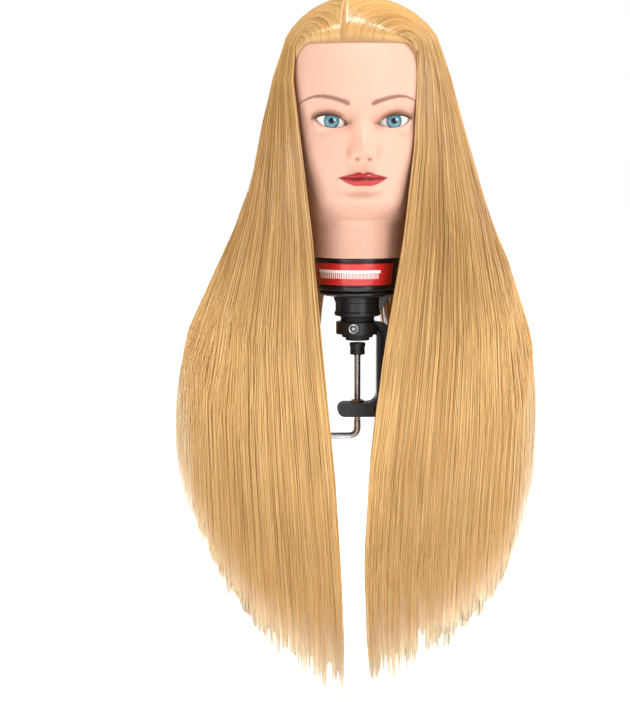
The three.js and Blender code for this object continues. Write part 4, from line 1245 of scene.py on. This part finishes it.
def tray_piece(material):
    """The disc with its raised rim, three notches at the edge and three gussets underneath."""
    corners = [
        (7.75, TRAY_BOTTOM, 0.4), (26, TRAY_BOTTOM, 0.5), (27, TRAY_BOTTOM + 0.8, 0.5),
        (31, TRAY_BOTTOM + 0.8, 0.5), (32.5, TRAY_BOTTOM, 0.5), (TRAY_RADIUS, TRAY_TOP - 3.4, 1.0),
        (TRAY_RADIUS, TRAY_TOP - 1.2, 0.8),
        (34, TRAY_TOP, 1.2), (31, TRAY_TOP, 0.6), (30, TRAY_TOP - 0.9, 0.6),
        (16, TRAY_TOP - 0.9, 0.6), (14.5, TRAY_TOP, 0.6), (7.75, TRAY_TOP, 0.4)]
    disc = turned_mesh("tray", rounded(corners), 120)
    notches, gussets = [], []
    slot = [[-2.5, -8], [2.5, -8], [2.5, 8], [-2.5, 8]]
    rib = [[23.4, TRAY_BOTTOM + 0.5], [31.5, TRAY_BOTTOM + 0.5], [31.5, TRAY_BOTTOM - 1],
           [24.1, TRAY_BOTTOM - 15], [23.4, TRAY_BOTTOM - 15]]
    to_rim = Matrix.Translation((TRAY_RADIUS * MM, 0, 0))
    for degrees in (60, 180, 300):
        notches.append(prism(slot, TRAY_BOTTOM - 2, TRAY_TOP + 4, "z"))
        notches[-1].transform(Matrix.Rotation(math.radians(degrees), 4, "Z") @ to_rim)
    for degrees in (-20, 100, 220):
        gussets.append(prism(rib, -1.2, 1.2))
        gussets[-1].transform(Matrix.Rotation(math.radians(degrees), 4, "Z"))
    mesh = combined("tray_disc", disc, gussets, notches)
    hard_piece("tray_disc", mesh, material, "swivel", ["tray"], bevel=0.35)


def plug_piece(material):
    """The fluted, slightly tapered plug, hollow for the post's core."""
    flutes, sides = 12, 144
    rows = [  # radius, height, flute depth
        (0.01, 126.9, 0), (5.35, 126.9, 0), (5.35, PLUG_BOTTOM, 0), (7.9, PLUG_BOTTOM, 0),
        (8.6, PLUG_BOTTOM + 0.5, 0.2), (11.4, PLUG_BOTTOM + 3.4, 1.0),
        (11.9, PLUG_BOTTOM + 4.2, 1.4), (12.0, PLUG_BOTTOM + 5.5, 1.6), (11.6, 92, 1.6),
        (11.2, 106, 1.6), (10.8, 122, 1.6),
        (10.7, PLUG_TOP - 3.6, 1.5), (10.4, PLUG_TOP - 2.4, 1.2), (9.4, PLUG_TOP - 0.8, 0.6),
        (8.3, PLUG_TOP - 0.1, 0.15), (7.4, PLUG_TOP, 0), (0.01, PLUG_TOP, 0)]
    angle = full_turn(sides)
    groove = unit(1 - np.abs(np.sin(angle * flutes / 2)) * 1.5) ** 0.8
    rings = []
    for radius, height, depth in rows:
        r = radius - depth * groove
        rings.append(stacked(r * np.cos(angle), r * np.sin(angle), np.full(sides, height)))
    mesh = build_mesh("plug", np.concatenate(rings), grid_faces(len(rows), sides, True))
    capped(mesh)
    hard_piece("fluted_plug", mesh, material, "swivel", ["plug_sleeve"])


def label_material():
    """Red gloss film with a printed white comb, half coarse and half fine teeth."""
    nodes = Nodes("printed_label", Coat_Weight=0.6, Coat_Roughness=0.15)
    _, u, v = nodes.texture_place()
    calc = nodes.calc

    def between(value, low, high):
        return calc("MULTIPLY", calc("GREATER_THAN", value, low), calc("LESS_THAN", value, high))

    def teeth(count, low, high):
        tooth = calc("LESS_THAN", calc("FRACT", calc("MULTIPLY", u, count), 0.0), 0.52)
        return calc("MULTIPLY", tooth, between(u, low, high))

    both = calc("ADD", teeth(40.0, 0.10, 0.46), teeth(68.0, 0.46, 0.80))
    comb = calc("MULTIPLY", both, between(v, 0.27, 0.50))
    spine = calc("MULTIPLY", between(u, 0.08, 0.82), between(v, 0.49, 0.60))
    worn = nodes.noise(120, detail=4.0)
    red = nodes.ramp(worn, [(0.3, (0.50, 0.010, 0.010)), (0.7, (0.60, 0.018, 0.014))])
    printed = nodes.blend(calc("MAXIMUM", comb, spine), red, (0.86, 0.84, 0.80, 1))
    nodes.link(printed, "Base Color")
    nodes.link(nodes.spread(worn, 0.30, 0.42), "Roughness")
    return nodes.material


def label_piece():
    """The sticker on the tapered band: a thin closed sheet with rounded corners."""
    low, high = label_low[2], label_high[2]
    columns, rows, corner = 90, 14, 2.5
    angle = np.radians(np.linspace(-71, 48, columns))
    height = np.linspace(low, high, rows)
    a, z = np.meshgrid(angle, height, indexing="ij")
    cone = 41.5 + (z - 56) * 3.0 / 26.5
    # the corners are rounded off by drawing the ends in
    edge = unit(1 - (height - low) / corner) + unit(1 - (high - height) / corner)
    draw = (1 - np.sqrt(1 - unit(edge) ** 2)) * 0.055
    middle = (angle[0] + angle[-1]) / 2
    a = middle + (a - middle) * (1 - draw[None, :] / ((angle[-1] - angle[0]) / 2))
    sheets = []
    for out in (0.8, 0.35):
        r = cone + out
        sheets.append(stacked(r * np.sin(a), -r * np.cos(a), z).reshape(-1, 3))
    front = grid_faces(columns, rows, False)
    total = columns * rows
    rim = np.concatenate([
        np.arange(rows), rows - 1 + rows * np.arange(1, columns), total - 1 - np.arange(1, rows),
        rows * np.arange(columns - 2, 0, -1)])
    following = np.roll(rim, -1)
    wall = stacked(rim, following, following + total, rim + total)
    faces = np.concatenate([front, front[:, ::-1] + total, wall])
    mesh = edited(build_mesh("label", np.concatenate(sheets), faces))
    u = np.repeat(np.linspace(0.01, 0.99, columns), rows)
    v = np.tile(np.linspace(0.02, 0.86, rows), columns)
    back = stacked(u, 0.90 + 0.09 * (v - 0.02) / 0.84)
    set_uv(mesh, np.concatenate([stacked(u, v), back]))
    piece("neck_label", mesh, label_material(), "head", ["base_label"])


def clamp_and_base():
    """Every hard piece, with turned ones given as [radius, height, round] corners."""
    satin = moulded("satin_black", (0.016, 0.016, 0.017), 0.36)
    gloss = moulded("gloss_black", (0.012, 0.010, 0.009), 0.24, grain=500, depth=0.00005)
    rubber = moulded("black_rubber", (0.020, 0.020, 0.021), 0.68, grain=1400, depth=0.0002)
    steel = metal("bright_steel", (0.58, 0.58, 0.59), 0.26)
    foam = moulded("cast_foam", (0.72, 0.66, 0.50), 0.9, grain=600, depth=0.0008, wear=0.3)
    clamp_frame(satin)
    lock_screw(steel)
    threaded_rod(steel)
    tray_piece(satin)
    plug_piece(satin)
    for name, node, material, body, slot, sides, corners in (
        ("jaw_plate", "jaw_pad", rubber, "frame", "rubber", 96, [
            (0, 0, 0), (4, 0, 0.2), (4.6, 0.6, 0.2), (5.2, 0, 0.2), (8.2, 0, 0.2), (8.8, 0.6, 0.2),
            (9.4, 0, 0.2), (12, 0, 0.7), (12, 3.2, 0.4), (15.6, 3.2, 0.7), (15.6, 6.15, 0.7),
            (0, 6.15, 0)]),
        ("bearing_washer", "swivel_washer", rubber, "swivel", "rubber", 96, [
            (4.35, 18.85, 0.3), (17, 18.85, 0.7), (17, 20.8, 0.2), (16.4, 21.2, 0.2),
            (16.4, 21.8, 0.2), (17, 22.2, 0.2), (17, 24.15, 0.7), (4.35, 24.15, 0.3)]),
        ("hub_shell", "hub_cup", satin, "swivel", "cast_black", 96, [
            (4.35, 24.5, 0.4), (21.8, 24.5, 0.8), (23.1, 25.6, 0.6), (23.1, 28.2, 0.6),
            (22.1, 29.5, 0.5), (22.0, 38, 0.3), (21.5, 38.4, 0.3), (21.5, 39.2, 0.3),
            (21.9, 39.6, 0.3), (21.8, 44.4, 0.4), (18.7, 44.4, 0.4), (18.7, 29.5, 1.0),
            (4.35, 29.5, 0.4)]),
        ("post_shaft", "post", satin, "swivel", "cast_black", 64, [
            (0, 40.2, 0), (12, 40.2, 0.5), (12, 44.4, 0.3), (7.4, 44.4, 0.2), (7.4, 74.5, 0.3),
            (7.0, 75.2, 0.3), (7.0, 76.25, 0.3), (5, 76.25, 0.2), (5, 125.5, 0.8), (0, 125.5, 0)]),
        ("pressure_pad", "pad_cup", satin, "pad", "cast_black", 64, [
            (0, PAD_TOP, 0), (3.0, PAD_TOP, 0.2), (3.5, PAD_TOP - 0.5, 0.2), (4.0, PAD_TOP, 0.2),
            (8, PAD_TOP, 0.8), (8, PAD_TOP - 3.6, 0.6), (7.3, PAD_TOP - 4.6, 0.5),
            (7.5, PAD_TOP - 10.2, 0.4), (7.4, PAD_TOP - 11.95, 0.6), (6, PAD_TOP - 11.95, 0.3),
            (6, PAD_TOP - 10.25, 0.2), (3.9, PAD_TOP - 10.25, 0.2), (3.9, PAD_TOP - 2.85, 0.3),
            (0, PAD_TOP - 2.85, 0)]),
        ("neck_base", "neck_base_cap", gloss, "head", "black_plastic", 128, [
            (15.55, 51, 0.5), (39.6, 51, 0.8), (41, 52.4, 1.0), (41.45, 55.6, 0.3),
            (41.0, 56.0, 0.15), (41.1, 56.5, 0.15), (41.65, 56.9, 0.2), (44.1, 79.6, 0.3),
            (43.7, 80.0, 0.15),
            (43.75, 80.5, 0.15), (44.35, 80.9, 0.3), (44.5, 83.5, 0.8), (40.2, 83.5, 0.2),
            (40.2, 98, 0.6), (37.8, 98, 0.6), (37.2, 55, 2.0), (15.55, 55, 0.4)]),
    ):
        mesh = turned_mesh(name, rounded(corners), sides)
        hard_piece(name, mesh, material, body, [node])
    label_piece()
    foam_piece(foam)
    # the CAD's own meshes stay for these, with a material of this script
    for name in (
            "screw_nut", "swivel_bolt", "spring_washer", "swivel_nut", "pad_retainer",
            "socket_tube"):
        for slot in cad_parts[name].material_slots:
            slot.material = gloss if name == "socket_tube" else steel


# ---------------------------------------------------------------- camera, light and floor
def area_light(name, place, aim, size, power, colour=(1, 1, 1)):
    light = bpy.data.lights.new(name, "AREA")
    light.shape = "RECTANGLE"
    light.size, light.size_y = size
    light.energy = power
    light.color = colour
    obj = linked(name, light)
    obj.location = place
    direction = Vector(aim) - Vector(place)
    obj.rotation_euler = direction.to_track_quat("-Z", "Y").to_euler()


def camera_and_light():
    """The photograph's camera, soft studio lights and a white world."""
    data = bpy.data.cameras.new("camera")
    camera = linked("camera", data)
    bpy.context.scene.camera = camera
    distance, eye_height, azimuth = 2.05, 0.205, math.radians(-2.3)
    target = Vector((-0.0425, 0.0, -0.011))
    across = target.x + distance * math.sin(azimuth)
    place = Vector((across, -distance * math.cos(azimuth), eye_height))
    camera.location = place
    camera.rotation_euler = (target - place).to_track_quat("-Z", "Y").to_euler()
    half_height = 0.351
    data.lens = data.sensor_width / 2 * (target - place).length / half_height

    area_light("key", (0.85, -1.9, 0.6), (0.0, 0.0, 0.0), (0.6, 0.6), 22, (1.0, 0.985, 0.96))
    area_light("fill", (-1.4, -1.7, 0.0), (0.0, 0.0, -0.1), (1.2, 1.4), 10, (1.0, 0.98, 0.96))
    area_light("left edge", (-1.6, 0.25, -0.1), (0.0, 0.0, -0.1), (0.8, 1.2), 9)
    area_light("right edge", (1.6, 0.25, -0.1), (0.0, 0.0, -0.1), (0.8, 1.2), 9)
    area_light("top", (0.15, -0.35, 1.6), (0.0, 0.0, 0.3), (0.35, 0.3), 20)
    world = bpy.data.worlds.new("studio")
    world.use_nodes = True
    tree = world.node_tree
    around = tree.nodes["Background"]
    around.inputs["Color"].default_value = (1, 1, 1, 1)
    around.inputs["Strength"].default_value = 0.40
    seen = tree.nodes.new("ShaderNodeBackground")
    ray = tree.nodes.new("ShaderNodeLightPath")
    mix = tree.nodes.new("ShaderNodeMixShader")
    tree.links.new(ray.outputs["Is Camera Ray"], mix.inputs[0])
    tree.links.new(around.outputs[0], mix.inputs[1])
    tree.links.new(seen.outputs[0], mix.inputs[2])
    seen.inputs["Color"].default_value = (1, 1, 1, 1)
    tree.links.new(mix.outputs[0], tree.nodes["World Output"].inputs["Surface"])
    bpy.context.scene.world = world
    bpy.context.scene.view_settings.view_transform = "Standard"


def studio_floor():
    """A wide pale floor under the object."""
    below, sides = 120, 64
    angle = full_turn(sides)
    radius = np.array([0.0, 800, 3000, 14000])[:, None]
    x = radius * np.cos(angle)
    points = stacked(x, radius * np.sin(angle), np.full_like(x, cad_box[0][2] / MM - below))
    mesh = build_mesh("floor", points.reshape(-1, 3), grid_faces(len(radius), sides, True))
    mesh = cleaned(mesh)
    nodes = Nodes("pale_floor", Roughness=0.9, Emission_Strength=0.8)
    nodes.shader.inputs["Emission Color"].default_value = (1, 1, 1, 1)
    soft = nodes.noise(3.0, detail=2.0)
    pale = nodes.ramp(soft, [(0.3, (0.93, 0.93, 0.93)), (0.7, (0.96, 0.96, 0.96))])
    nodes.link(pale, "Base Color")
    mesh.materials.append(nodes.material)
    floor = linked("floor", mesh)


camera_and_light()
studio_floor()
skin_piece()
eye_shader = eye_material()
lash_shader = moulded("lash_fibre", (0.012, 0.008, 0.006), 0.5, grain=400)
for side, word in ((-1, "left"), (1, "right")):
    eye_piece(side, word, eye_shader)
    lash_piece(side, word, lash_shader)
clamp_and_base()
strand_shader = hair_material("blonde_strands")
# painted shade: the sheet under the loose strands is a darker copy of the hair's material
mass_shader = hair_material("blonde_mass", darker=0.12)
for side, word in ((-1, "left"), (1, "right")):
    hair_mass(side, word, mass_shader)
    hair_strands(side, word, STRANDS, strand_shader)
